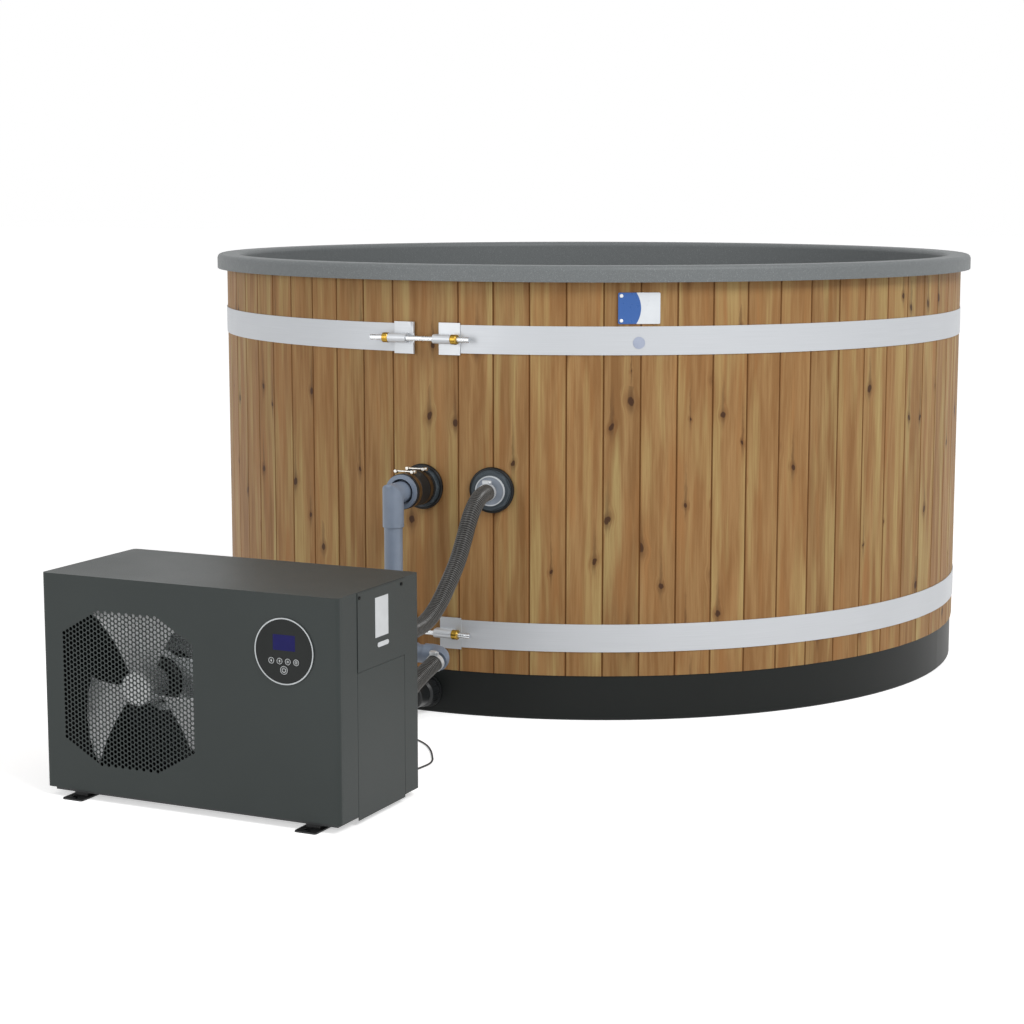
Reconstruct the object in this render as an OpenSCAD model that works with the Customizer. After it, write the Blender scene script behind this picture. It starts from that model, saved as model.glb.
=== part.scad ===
// Round timber-clad hot tub with a plumbed air-source heat pump beside it.
// Origin: centre of the tub at floor level. +Z is up, the heat pump stands on the -Y side.

/* [Tub wall] */
// Outer radius of the timber wall at its stave joints
wall_r = 920; // [770:5:1120]
// Height of the rim's top above the floor
rim_top = 996; // [850:2:1200]
// Stave places round the tub; the wide stave takes two of them
stave_places = 72; // [60:2:80]
// Thickness of a stave
stave_t = 26; // [22:1:32]
// Bevel on each long outer edge of a stave
stave_bevel = 2.2; // [1:0.2:4]
// Open joint between two staves
stave_gap = 0.3; // [0.2:0.1:1]
// Length of a stave's tongue
tongue_len = 7; // [4:1:9]
// Thickness of a stave's tongue
tongue_t = 8; // [5:1:10]
// Clearance round a tongue in its groove
tongue_clear = 0.4; // [0.2:0.1:0.8]

/* [Bands] */
// Height of the lower band's bottom edge
low_band_z = 154; // [130:2:220]
// Height of the upper band's bottom edge
high_band_z = 804.5; // [640:0.5:830]
// Width of a band
band_w = 61.5; // [40:0.5:80]
// Thickness of a band
band_t = 1.6; // [1:0.2:3]
// Height of a lug plate on a band's end
lug_h = 70; // [64:1:90]
// Thickness of a lug plate
lug_t = 2; // [1.5:0.5:4]
// Length of a lug plate round the wall
lug_len = 50; // [40:1:70]
// Distance between the facing ends of the two lugs
lug_gap = 60; // [40:1:90]
// Diameter of the tightening rod
rod_d = 11.6; // [8:0.2:14]
// Length of the tightening rod
rod_len = 242; // [200:2:280]
// Outer diameter of the half-round sleeve that holds the rod
sleeve_d = 20; // [18:0.5:26]
// Length of a half-round sleeve
sleeve_len = 43; // [30:1:50]
// Diameter of a rod nut
nut_d = 22; // [20:0.5:28]
// Length of a rod nut
nut_len = 14; // [10:1:18]
// Sideways place of the middle of both tighteners
buckle_x = 6.5; // [-10:0.5:20]

/* [Shell] */
// Wall of the moulded shell
shell_t = 5; // [4:0.5:8]
// Radius of the rim's outer edge past the timber wall
rim_over = 23; // [16:1:40]
// Depth of the rim's hanging skirt
rim_skirt = 35; // [25:1:60]
// Radius of the rim's outer top edge
rim_round = 10; // [6:1:14]
// Radius of the rim's inner top edge
lip_round = 12; // [8:1:20]
// Gap between the shell and the backs of the staves at the top
shell_gap = 4; // [2:0.5:10]
// How much narrower the shell is at the bench than at the rim
shell_draft = 16; // [5:1:40]
// Height of the bench above the floor
bench_z = 425; // [340:5:480]
// Width of the bench
bench_w = 320; // [250:5:380]
// How much narrower the footwell is at its floor than at the bench
well_draft = 25; // [5:1:60]
// Radius where the footwell's floor turns up
well_round = 40; // [20:1:60]
// Radius of the bench's front edge
bench_round = 28; // [15:1:40]
// Radius where the bench turns up into the backrest
back_round = 50; // [25:1:80]

/* [Base] */
// Height of the base tray
base_h = 100; // [80:2:140]
// How far the base's skirt stands in from the timber wall
base_in = 3.3; // [2:0.1:20]
// Wall of the base tray
base_t = 6; // [4:0.5:10]
// Width of the ledge that the staves stand on
ledge_w = 34; // [30:1:50]
// Width of a floor bearer
bearer_w = 60; // [40:1:100]
// Distance between the middles of two floor bearers
bearer_pitch = 260; // [220:5:280]

/* [Wall fittings] */
// Height of the suction fitting and the return fitting
port_z = 508; // [480:2:600]
// Sideways place of the suction line
suction_x = -7; // [-20:1:20]
// Direction of the return fitting, in degrees round from +X
return_dir = -80.15; // [-80.5:0.05:-79.5]
// Diameter of a wall flange
flange_d = 101; // [90:1:110]
// Thickness of a wall flange
flange_t = 6.5; // [4:0.5:10]
// Thickness of a wall gasket
gasket_t = 2; // [1:0.5:4]
// Outer diameter of the pipe stub through the wall
stub_d = 63; // [55:1:66]
// Wall of the pipe stub
stub_t = 5; // [3:0.5:7]
// Clearance round the stub in the wall
stub_clear = 1; // [0.5:0.5:3]

/* [Suction line] */
// Length of the rubber coupling
coupling_len = 84; // [70:1:110]
// Wall of the rubber coupling
coupling_t = 7; // [6:0.5:12]
// Width of a coupling clamp
clamp_w = 13; // [9:1:16]
// Outer diameter of the plumbing pipe
pipe_d = 40; // [32:1:42]
// Wall of the plumbing pipe
pipe_t = 3; // [2:0.5:4]
// Outer diameter of an elbow's socket
socket_d = 46; // [46:1:54]
// Distance of the down pipe's middle from the timber wall
pipe_out = 136; // [125:1:160]
// Height of the low pipe run
run_z = 164; // [120:1:200]
// Sideways length from the down pipe to the outlet elbow
run_len = 118; // [100:1:150]
// Downward tilt of the outlet elbow
outlet_tilt = 13; // [0:1:20]

/* [Hoses] */
// Outer diameter of a ribbed hose
hose_d = 36; // [34:1:40]
// Depth of the grooves between its ribs
rib_depth = 2; // [1:0.5:3]
// Distance from rib to rib
rib_pitch = 5.6; // [5:0.1:8]
// Inner diameter of a ribbed hose
hose_bore = 28; // [24:1:29]
// Diameter of the sensor lead
lead_d = 4; // [3:0.5:5]

/* [Drain] */
// Height of the drain fitting
drain_z = 48; // [46:1:60]
// Diameter of the drain flange
drain_flange_d = 75; // [65:1:78]
// Diameter of the drain cap
drain_cap_d = 67; // [60:1:72]
// How far the drain cap stands out of the base
drain_out = 80; // [60:1:90]
// Distance of the floor drain from the middle of the tub
sump_y = -400; // [-430:5:-300]

/* [Plates] */
// Direction of the blue and white plate, in degrees round from +X
plate_dir = -60.3; // [-65:0.1:-55]
// Width of the plate
plate_w = 91; // [70:1:110]
// Height of the plate
plate_h = 67; // [50:1:80]
// Height of the plate's bottom edge
plate_z = 871.5; // [868:0.5:900]
// Diameter of the round sticker on the upper band
sticker_d = 26; // [20:1:32]

/* [Heat pump cabinet] */
// Sideways place of the cabinet's left side
hp_x = -344; // [-400:1:-300]
// Place of the cabinet's front face
hp_y = -1844; // [-1900:1:-1844]
// Height of the cabinet's underside
hp_z = 10; // [8:1:20]
// Width of the cabinet
hp_w = 650; // [640:1:800]
// Depth of the cabinet
hp_d = 308; // [308:1:360]
// Height of the cabinet
hp_h = 427; // [420:1:520]
// Thickness of the sheet metal
sheet_t = 1.2; // [0.8:0.1:1.6]
// Radius of the cabinet's upright corners
corner_r = 8; // [5:1:12]
// Distance from the front face to the service cover
post_d = 68; // [60:1:80]
// Depth of the service cover and the panel below it
cover_d = 182; // [170:1:190]
// Height of the seam between the service cover and the lower panel
cover_z = 278; // [240:1:320]
// Width of an open seam between two panels
seam = 1; // [0.5:0.1:2]
// Width of a foot rail
foot_w = 46; // [40:1:60]
// Distance from the cabinet's side to the foot rail
foot_in = 44; // [30:1:60]
// How far a foot rail reaches past the front and the back
foot_out = 15; // [10:1:30]
// Thickness of a foot rail's flat plate
foot_t = 3; // [2:0.5:5]

/* [Grille and fan] */
// Distance of the fan's middle from the cabinet's left side
fan_u = 192; // [190:1:200]
// Height of the fan's middle above the cabinet's underside
fan_w = 212; // [205:1:220]
// Half the width of the punched octagon
grille_half_w = 151; // [130:1:155]
// Half the height of the punched octagon
grille_half_h = 155; // [140:1:160]
// Half the length of the octagon's flat top edge
grille_top = 67; // [50:1:90]
// Diameter of a punched hole
punch_d = 7.2; // [5:0.2:7.6]
// Distance between two punched holes in a column
punch_pitch = 9.2; // [8.8:0.2:14]
// Radius of the fan
fan_r = 172; // [150:1:174]
// Radius of the fan's hub
hub_r = 34; // [25:1:45]
// Number of fan blades
blades = 3; // [2:1:5]
// Angle that one blade covers
blade_span = 61; // [40:1:70]
// Front to back depth of a blade
blade_rise = 78; // [40:1:80]
// Diameter of the fan shaft
shaft_d = 10; // [8:1:14]
// Clearance round the shaft in the motor's bearing
shaft_clear = 0.05; // [0.02:0.01:0.08]

/* [Controller] */
// Distance of the display's middle from the cabinet's left side
dial_u = 537.5; // [520:0.5:560]
// Height of the display's middle above the cabinet's underside
dial_w = 321.6; // [300:0.1:340]
// Outer diameter of the silver ring
dial_d = 124; // [115:1:135]
// Width of the silver ring
dial_ring = 2.4; // [2:0.2:4]
// Diameter of a small key
key_d = 13; // [10:0.5:14]
// Diameter of the large key
big_key_d = 17; // [14:0.5:18]
// Distance between the small keys
key_pitch = 17.4; // [16:0.1:20]
// Travel of a key
key_travel = 0.6; // [0.3:0.1:0.8]
// Clearance round a key in its hole
key_clear = 0.35; // [0.3:0.05:0.5]

/* [Hidden] */

fine = 144;
round_fn = 48;
small_fn = 24;

// Wall
place_deg = 360 / stave_places;
stave_half = place_deg / 2;
wide_half = place_deg;
wide_dir = -90;
wide_face = wall_r * cos(wide_half);
stave_back = wall_r * cos(stave_half) - stave_t;
stave_top = rim_top - shell_t;

// Shell
shell_r_top = stave_back - shell_gap - shell_t;
shell_r_low = shell_r_top - shell_draft;
well_r_top = shell_r_low - bench_w;
well_r_low = well_r_top - well_draft;
well_z = base_h + shell_t;
rim_r = wall_r + rim_over;
pad_d = flange_d + 11;
pad_face = shell_r_low - 6;

// Base
base_r = wall_r - base_in;
base_round = 3;
bearer_end = 24;

// Bands
band_r0 = wall_r;
band_r1 = band_r0 + band_t;
lug_r0 = band_r1 + 0.1;
lug_r1 = lug_r0 + lug_t;
band_under_lug = 14;
fold_h = 4;
rod_y = -(lug_r1 + nut_d / 2 + 0.4);
rod_clear = 0.4;
sleeve_shift = 6.3;
nut_gap = 0.3;

// Wall fittings
suction_seat = wide_face;
return_seat = wall_r + 0.1;
stub_bore_d = stub_d - 2 * stub_t;
inner_flange_t = 8;
return_disc_d = 66;
return_disc_t = 4;
flange_nut_af = 82;
flange_nut_t = 6;
nut_chamfer = 1.5;
tail_d = hose_bore - 0.6;
tail_bore = tail_d - 6;

// Suction line
coupling_y0 = suction_seat + gasket_t + flange_t + flange_nut_t + 0.2;
coupling_y1 = coupling_y0 + coupling_len;
coupling_d = stub_d + 2 * coupling_t;
clamp_groove = 1;
clamp_in = 9;
bush_lip_d = 75;
bush_lip_t = 6;
bush_recess_d = 57;
bush_recess = 20;
bush_depth = 40;
pipe_y = -(wall_r + pipe_out);
socket_len = 71;
socket_short = 55;
socket_depth = 33;
bend_r = 24;
mitre_round = 6;
outlet_x = suction_x + run_len;
outlet_leg = 41;
outlet_mouth = 27;
outlet_socket = 14;
tail_len = 40;

// Hose routes: round numbers chosen by hand, from the tub to the heat pump
return_route = [
    [162.5, -936, 508], [165.5, -953, 508], [168.5, -971, 507.7], [174, -1002, 504.3],
    [179, -1031, 495.5], [183, -1058, 480.5], [186, -1081, 460.5], [189.5, -1108, 431],
    [195, -1150, 391], [200, -1200, 354], [205, -1260, 316], [208.5, -1315, 294.5],
    [210, -1366, 288], [211, -1414, 289.5], [211, -1462, 292], [211, -1500, 292]
];
supply_route = [
    [111, -1083.8, 157.6], [111, -1102, 153.4], [111, -1120.5, 149.1], [111, -1143, 143.3],
    [111.5, -1168, 136], [114.5, -1203, 127], [124, -1241, 119.5], [139.5, -1278, 114.5],
    [161, -1315, 112.5], [182.5, -1352, 112], [198.5, -1389, 112], [208, -1426, 112],
    [211, -1462, 112], [211, -1500, 112]
];
// Sensor lead: from the heat pump's back down to the floor and up to the low pipe run
lead_route = [
    [200, -1520, 60], [200, -1508, 60], [200, -1496, 57], [201, -1483, 47],
    [203, -1469, 32], [205, -1454, 17], [207, -1438, 7], [210, -1420, 3],
    [214, -1396, 2.3], [218, -1366, 2.3], [220, -1331, 2.3], [213, -1303, 2.3],
    [200, -1278, 2.3], [178, -1241, 2.3], [154, -1208, 2.3], [135, -1188, 2.3],
    [114, -1171, 2.3], [92, -1158, 2.3], [72, -1150, 3], [56, -1144, 9],
    [43, -1140, 22], [34, -1137, 43], [28, -1134, 69], [25, -1130, 96],
    [24, -1126, 121], [24, -1120, 144], [24, -1112, 159], [24, -1102, 164], [24, -1090.5, 164]
];
lead_boss_d = 12;
lead_boss_x = 31;
lead_boss_y = 34;

// Heat pump, measured from the cabinet's front left bottom corner
panel_z = 8;
pan_in = 12;
pan_t = 1.5;
pan_h = 28;
post_return = 4;
front_return = corner_r + post_return;
cabinet_top = hp_h - sheet_t;
top_hem = 5;
column_pitch = punch_pitch * cos(30);
grille_slope = 30;
union_u = 211 - hp_x;
union_d = 60;
return_union_w = 292 - hp_z;
supply_union_w = 112 - hp_z;
gland_u = 200 - hp_x;
gland_w = 60 - hp_z;
mains_v = 230;
mains_bore = 9;
intake_u0 = 60;
intake_u1 = 400;
intake_w0 = 50;
intake_w1 = 390;
fan_front = 14;
blade_dir = 92;
ring_v0 = 8;
ring_len = 52;
works_wall_u = 402;
shroud_gap = 5;
shroud_t = 2;
motor_d = 92;
motor_front = 104;
motor_len = 75;
bracket_v = 13;
bracket_t = 2.5;
bracket_low = -42;
bracket_high = 48;
coil_v0 = 249;
coil_d = 36;

// Controller: depths are measured back from the cabinet's front face
face_front = -2.4;
face_t = 3;
ring_front = -3.2;
key_front = -3.4;
flange_lip = 1;
flange_gap = 0.15;
board_v = 4;
tub_v = 12;
window_w = 46.5;
window_h = 29;
window_t = 1;
window_up = 16;
key_row = -18.4;
big_key_row = -34.6;
key_row_shift = -0.4;

// ---------- Shapes used by several pieces ----------

// Points along an arc about c, from angle a0 to angle a1
function arc(c, r, a0, a1, n = 8) =
    [for (i = [0 : n]) let (a = a0 + (a1 - a0) * i / n) [c[0] + r * cos(a), c[1] + r * sin(a)]];

// Point on a smooth curve through the points p, between p[i] and p[i + 1]
function curve_pt(p, i, t) =
    let (a = p[max(i - 1, 0)], b = p[i], c = p[i + 1], d = p[min(i + 2, len(p) - 1)])
    0.5 * (2 * b + (c - a) * t + (2 * a - 5 * b + 4 * c - d) * t * t
        + (3 * b - a - 3 * c + d) * t * t * t);

function curve(p, steps = 12) = concat(
    [for (i = [0 : len(p) - 2], k = [0 : steps - 1]) curve_pt(p, i, k / steps)],
    [p[len(p) - 1]]);

// Distance along a path at each of its points
function run_lengths(p) =
    [for (i = 0, s = 0; i < len(p); i = i + 1, s = s + (i < len(p) ? norm(p[i] - p[i - 1]) : 0)) s];

function table(p, s, axis) = [for (i = [0 : len(p) - 1]) [s[i], p[i][axis]]];

// Rings of a tube: centres and radii in, points out
function ring_points(c, r, sides) = let (n = len(c)) [
    for (i = [0 : n - 1])
        let (
            t = c[min(i + 1, n - 1)] - c[max(i - 1, 0)],
            side = cross(t, [0, 0, 1]) / norm(cross(t, [0, 0, 1])),
            up = cross(side, t) / norm(t)
        )
        for (k = [0 : sides - 1])
            let (a = 360 * (k + 0.5) / sides) c[i] + r[i] * (cos(a) * side + sin(a) * up)
];

// Two triangles for each side between ring i and ring j
function ring_faces(i, j, sides) = [
    for (k = [0 : sides - 1], h = [0, 1])
        let (a = i * sides + k, b = i * sides + (k + 1) % sides,
             c = j * sides + (k + 1) % sides, d = j * sides + k)
        h == 0 ? [a, b, c] : [a, c, d]
];

// Centres at even steps along a route
function even_centres(route, count) =
    let (p = curve(route), s = run_lengths(p), total = s[len(s) - 1],
         x = table(p, s, 0), y = table(p, s, 1), z = table(p, s, 2))
    [for (i = [0 : count]) let (q = total * i / count) [lookup(q, x), lookup(q, y), lookup(q, z)]];

function route_length(route) = let (s = run_lengths(curve(route))) s[len(s) - 1];

// Hose with a bore and one rib at every pitch
module ribbed_hose(route, outer_d, bore_d, depth, pitch) {
    sides = 8;
    ribs = round(route_length(route) / pitch);
    bore_steps = round(ribs / 4);
    outer = even_centres(route, 2 * ribs);
    inner = even_centres(route, bore_steps);
    // The eight flats straddle the round size
    r_rib = outer_d / 2 / cos(90 / sides);
    r_bore = bore_d / 2 / cos(180 / sides);
    outer_pts = ring_points(outer, [for (i = [0 : 2 * ribs]) r_rib - (i % 2) * depth], sides);
    inner_pts = ring_points(inner, [for (i = [0 : bore_steps]) r_bore], sides);
    n_out = len(outer);
    n_in = len(inner);
    polyhedron(
        points = concat(outer_pts, inner_pts),
        faces = concat(
            [for (i = [0 : n_out - 2]) each ring_faces(i + 1, i, sides)],
            [for (i = [0 : n_in - 2]) each ring_faces(n_out + i, n_out + i + 1, sides)],
            ring_faces(0, n_out, sides),
            ring_faces(n_out + n_in - 1, n_out - 1, sides)
        ),
        convexity = 10
    );
}

// Plain solid lead along a route
module plain_lead(route, d, rings) {
    sides = 8;
    c = even_centres(route, rings);
    n = len(c);
    polyhedron(
        points = ring_points(c, [for (i = [0 : n - 1]) d / 2], sides),
        faces = concat(
            [for (i = [0 : n - 2]) each ring_faces(i + 1, i, sides)],
            [[for (k = [0 : sides - 1]) k]],
            [[for (k = [0 : sides - 1]) n * sides - 1 - k]]
        ),
        convexity = 10
    );
}

module tube(od, id, h, fn = round_fn)
    difference() {
        cylinder(d = od, h = h, $fn = fn);
        translate([0, 0, -1]) cylinder(d = id, h = h + 2, $fn = fn);
    }

// Children drawn along +Z point straight out of the wall at the suction line
module at_suction(out = 0) translate([suction_x, -out, port_z]) rotate([90, 0, 0]) children();

// Children drawn along +Z point straight out of the wall at the return line
module at_return(out = 0)
    rotate([0, 0, return_dir]) translate([out, 0, port_z]) rotate([0, 90, 0]) children();

module at_drain(out = 0) translate([0, -out, drain_z]) rotate([90, 0, 0]) children();

module at_cabinet() translate([hp_x, hp_y, hp_z]) children();

// Children drawn along +Z point into the cabinet from its front face
module into_front(u, w, v = 0) translate([u, v, w]) rotate([-90, 0, 0]) children();

// Part of a hoop between two directions
module hoop(r0, r1, a0, a1, z, h)
    rotate([0, 0, a0]) rotate_extrude(angle = a1 - a0, $fn = fine)
        translate([r0, z]) square([r1 - r0, h]);

// ---------- Tub ----------

module base_tray()
    color("#1b1f1f") difference() {
        rotate_extrude($fn = fine) polygon(concat(
            [[0, 0], [base_r - base_round, 0], [base_r, base_round]],
            [[base_r, base_h], [base_r - ledge_w, base_h], [base_r - ledge_w, base_h - base_t]],
            [[base_r - base_t, base_h - base_t], [base_r - base_t, base_t], [0, base_t]]));
        at_drain(base_r - 3 * base_t) cylinder(d = pipe_d + 2, h = 4 * base_t, $fn = round_fn);
    }

module floor_bearers() {
    reach = base_r - ledge_w - bearer_end;
    color("#a9855a") for (i = [-1.5, -0.5, 0.5, 1.5]) {
        x = i * bearer_pitch;
        half = sqrt(reach * reach - pow(abs(x) + bearer_w / 2, 2));
        translate([x - bearer_w / 2, -half, base_t]) cube([bearer_w, 2 * half, base_h - base_t]);
    }
}

// The shell's wall from the middle of the floor up to the rim, pushed outwards by d
function basin(d, top) = concat(
    [[0, well_z - d]],
    arc([well_r_low - well_round, well_z + well_round], well_round + d, -90, 0),
    arc([well_r_top + bench_round, bench_z - bench_round], bench_round - d, 180, 90),
    arc([shell_r_low - back_round, bench_z + back_round], back_round + d, -90, 0),
    [[shell_r_top + d, top]]);

function backwards(p) = [for (i = [len(p) - 1 : -1 : 0]) p[i]];

function shell_outline() = concat(
    basin(0, rim_top - lip_round - 1),
    arc([shell_r_top + lip_round, rim_top - lip_round], lip_round, 180, 90),
    arc([rim_r - rim_round, rim_top - rim_round], rim_round, 90, 0),
    [[rim_r, rim_top - rim_skirt], [rim_r - shell_t, rim_top - rim_skirt]],
    [[rim_r - shell_t, rim_top - shell_t]],
    backwards(basin(shell_t, rim_top - shell_t)));

// Flat pad moulded into the shell behind a wall fitting
pad_depth = 14;

module shell()
    color("#76797b") difference() {
        union() {
            rotate_extrude($fn = fine) polygon(shell_outline());
            at_suction(pad_face) cylinder(d = pad_d, h = pad_depth, $fn = round_fn);
            at_return(pad_face) cylinder(d = pad_d, h = pad_depth, $fn = round_fn);
        }
        at_suction(pad_face - 20)
            cylinder(d = stub_d + 2 * stub_clear, h = 60, $fn = round_fn);
        at_return(pad_face - 20)
            cylinder(d = stub_d + 2 * stub_clear, h = 60, $fn = round_fn);
        translate([0, sump_y, 0]) cylinder(d = pipe_d + 2, h = well_z + 5, $fn = round_fn);
    }

// Cross-section of a stave that covers 2 * half degrees, pointing along +X
module stave_section(half) {
    face = wall_r * cos(half);
    back = face - stave_t;
    w1 = face * tan(half) - stave_gap / 2;
    w0 = back * tan(half) - stave_gap / 2;
    b = stave_bevel;
    mid = wall_r - stave_t / 2;
    difference() {
        union() {
            polygon([[back, -w0], [face - b, b * tan(half) * -1 + -(w1 - b * 2 * tan(half))],
                [face, -(w1 - b)], [face, w1 - b],
                [face - b, w1 - b * tan(half)], [back, w0]]);
            rotate([0, 0, half]) translate([mid - tongue_t / 2, -2])
                square([tongue_t, tongue_len + 2]);
        }
        rotate([0, 0, -half]) translate([mid - tongue_t / 2 - tongue_clear, -2])
            square([tongue_t + 2 * tongue_clear, tongue_len + 2 + tongue_clear]);
    }
}

module wall_holes() {
    at_suction(stave_back - 30)
        cylinder(d = stub_d + 2 * stub_clear, h = stave_t + 60, $fn = round_fn);
    at_return(stave_back - 30)
        cylinder(d = stub_d + 2 * stub_clear, h = stave_t + 60, $fn = round_fn);
}

// Standard staves, counted round from the wide stave
module staves(first, last)
    for (i = [first : last])
        difference() {
            translate([0, 0, base_h])
                rotate([0, 0, wide_dir + wide_half + (i + 0.5) * place_deg])
                    linear_extrude(stave_top - base_h) stave_section(stave_half);
            if (i < 2) wall_holes();
        }

module front_staves() color("#9a7448") {
    quarter = floor((stave_places - 2) / 4);
    staves(0, quarter - 1);
    staves(stave_places - 2 - quarter, stave_places - 3);
}

module rear_staves() {
    quarter = floor((stave_places - 2) / 4);
    color("#9a7448") staves(quarter, stave_places - 3 - quarter);
}

module wide_stave()
    color("#8f6a40") difference() {
        translate([0, 0, base_h]) rotate([0, 0, wide_dir])
            linear_extrude(stave_top - base_h) stave_section(wide_half);
        wall_holes();
    }

// ---------- Bands ----------

function deg_at(x) = -90 + asin(x / band_r1);
lug_left_x = buckle_x - lug_gap / 2;
lug_right_x = buckle_x + lug_gap / 2;

module band(z)
    color("#c9cfd4")
        hoop(band_r0, band_r1, deg_at(lug_right_x + band_under_lug),
            360 + deg_at(lug_left_x - band_under_lug), z, band_w);

module upper_band() band(high_band_z);

module lower_band() band(low_band_z);

module band_lugs()
    color("#cfd4d8") for (z = [low_band_z, high_band_z]) {
        lug_z = z + (band_w - lug_h) / 2;
        union() {
            hoop(lug_r0, lug_r1, deg_at(lug_left_x - lug_len), deg_at(lug_left_x), lug_z, lug_h);
            // The inner end is folded outwards
            hoop(lug_r0, lug_r1 + fold_h, deg_at(lug_left_x) - 0.12, deg_at(lug_left_x),
                lug_z, (lug_h - sleeve_d) / 2 - 1);
            hoop(lug_r0, lug_r1 + fold_h, deg_at(lug_left_x) - 0.12, deg_at(lug_left_x),
                lug_z + (lug_h + sleeve_d) / 2 + 1, (lug_h - sleeve_d) / 2 - 1);
        }
        hoop(lug_r0, lug_r1, deg_at(lug_right_x), deg_at(lug_right_x + lug_len), lug_z, lug_h);
    }

// Children drawn along +X lie on the rod of the band at height z
module on_rod(x, z) translate([x, rod_y, z + band_w / 2]) rotate([0, 90, 0]) children();

// Half-round tunnel whose sides reach down to the curved lug, with the rod through it
module sleeve(x, z)
    difference() {
        union() {
            on_rod(x, z) cylinder(d = sleeve_d, h = sleeve_len, $fn = round_fn);
            translate([x, rod_y, z + (band_w - sleeve_d) / 2])
                cube([sleeve_len, nut_d, sleeve_d]);
        }
        on_rod(x - 1, z) cylinder(d = rod_d + 2 * rod_clear, h = sleeve_len + 2, $fn = round_fn);
        translate([0, 0, z - 1]) cylinder(r = lug_r1 + 0.05, h = band_w + 2, $fn = fine);
    }

sleeve_left_x = lug_left_x - lug_len - sleeve_shift;
sleeve_right_x = lug_right_x - sleeve_shift;

module rod_sleeves()
    color("#d3d8db") for (z = [low_band_z, high_band_z]) {
        sleeve(sleeve_left_x, z);
        sleeve(sleeve_right_x, z);
    }

module tension_rods()
    color("#d0d5d8") for (z = [low_band_z, high_band_z])
        on_rod(-rod_len / 2 - 4, z) cylinder(d = rod_d, h = rod_len, $fn = small_fn);

module rod_nut(x, z)
    on_rod(x, z) difference() {
        rotate_extrude($fn = small_fn) polygon([
            [0, 0], [nut_d / 2 - 1, 0], [nut_d / 2, 1],
            [nut_d / 2, nut_len - 1], [nut_d / 2 - 1, nut_len], [0, nut_len]]);
        translate([0, 0, -1]) cylinder(d = rod_d + 0.1, h = nut_len + 2, $fn = small_fn);
    }

module rod_nuts()
    color("#a88b32") for (z = [low_band_z, high_band_z]) {
        rod_nut(sleeve_left_x - nut_gap - nut_len, z);
        rod_nut(sleeve_right_x + sleeve_len + nut_gap, z);
    }

// ---------- Wall fittings and suction line ----------

// Stub through the wall with a flange on the shell's inner pad, bored right through
module wall_body(out)
    difference() {
        union() {
            translate([0, 0, -inner_flange_t - gasket_t])
                cylinder(d1 = flange_d - 6, d2 = flange_d, h = inner_flange_t, $fn = round_fn);
            translate([0, 0, -gasket_t - 1]) cylinder(d = stub_d, h = out + gasket_t + 1, $fn = round_fn);
        }
        translate([0, 0, -inner_flange_t - gasket_t + 3])
            cylinder(d = stub_bore_d, h = out + inner_flange_t + gasket_t, $fn = round_fn);
        // Inlet holes in the face towards the water
        for (k = [0 : 5]) rotate([0, 0, 60 * k]) translate([15, 0, -inner_flange_t - gasket_t - 1])
            cylinder(d = 11, h = 6, $fn = small_fn);
        translate([0, 0, -inner_flange_t - gasket_t - 1]) cylinder(d = 11, h = 6, $fn = small_fn);
    }

module suction_body()
    color("#2a2d2f") at_suction(pad_face) wall_body(suction_seat - pad_face + gasket_t + flange_t + 48);

module return_body()
    color("#2a2d2f") at_return(pad_face)
        wall_body(return_seat - pad_face + gasket_t + flange_t + flange_nut_t);

module wall_gaskets()
    color("#151515") {
        at_suction(suction_seat) tube(flange_d - 2, stub_d + 0.1, gasket_t);
        at_return(return_seat) tube(flange_d - 2, stub_d + 0.1, gasket_t);
        at_suction(pad_face - gasket_t) tube(flange_d - 4, stub_d + 0.1, gasket_t);
        at_return(pad_face - gasket_t) tube(flange_d - 4, stub_d + 0.1, gasket_t);
    }

// Outer flange nut: a round flange whose free edge is rounded off, and an octagon for the spanner
// whose corners are turned down by a cone
module wall_flange()
    difference() {
        union() {
            rotate_extrude($fn = 64) polygon(concat(
                [[0, 0], [flange_d / 2, 0]],
                arc([flange_d / 2 - 4, flange_t - 4], 4, 0, 90, 4),
                [[0, flange_t]]));
            intersection() {
                cylinder(d = flange_nut_af / cos(22.5), h = flange_t + flange_nut_t, $fn = 8);
                rotate_extrude($fn = 64) polygon([
                    [0, 0], [flange_nut_af, 0], [flange_nut_af, flange_t],
                    [flange_nut_af / 2 / cos(22.5), flange_t + flange_nut_t - nut_chamfer - 1],
                    [flange_nut_af / 2 - nut_chamfer, flange_t + flange_nut_t],
                    [0, flange_t + flange_nut_t]]);
            }
        }
        translate([0, 0, -1])
            cylinder(d = stub_d + 0.1, h = flange_t + flange_nut_t + 2, $fn = round_fn);
    }

module wall_flanges()
    color("#1d2022") {
        at_suction(suction_seat + gasket_t) wall_flange();
        at_return(return_seat + gasket_t) wall_flange();
    }

// Rubber sleeve with a raised lip at each end and a groove for each clamp
module rubber_coupling() {
    r = coupling_d / 2;
    g = r - clamp_groove;
    c0 = clamp_in - 1;
    c1 = clamp_in + clamp_w + 1;
    color("#17181a") at_suction(coupling_y0) difference() {
        rotate_extrude($fn = 64) polygon([
            [0, 0], [r + 0.5, 0], [r + 0.5, c0], [g, c0], [g, c1], [r, c1 + 1],
            [r, coupling_len - c1 - 1], [g, coupling_len - c1], [g, coupling_len - c0],
            [r + 0.5, coupling_len - c0], [r + 0.5, coupling_len], [0, coupling_len]]);
        translate([0, 0, -1]) cylinder(d = stub_d + 0.1, h = coupling_len + 2, $fn = round_fn);
    }
}

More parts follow.
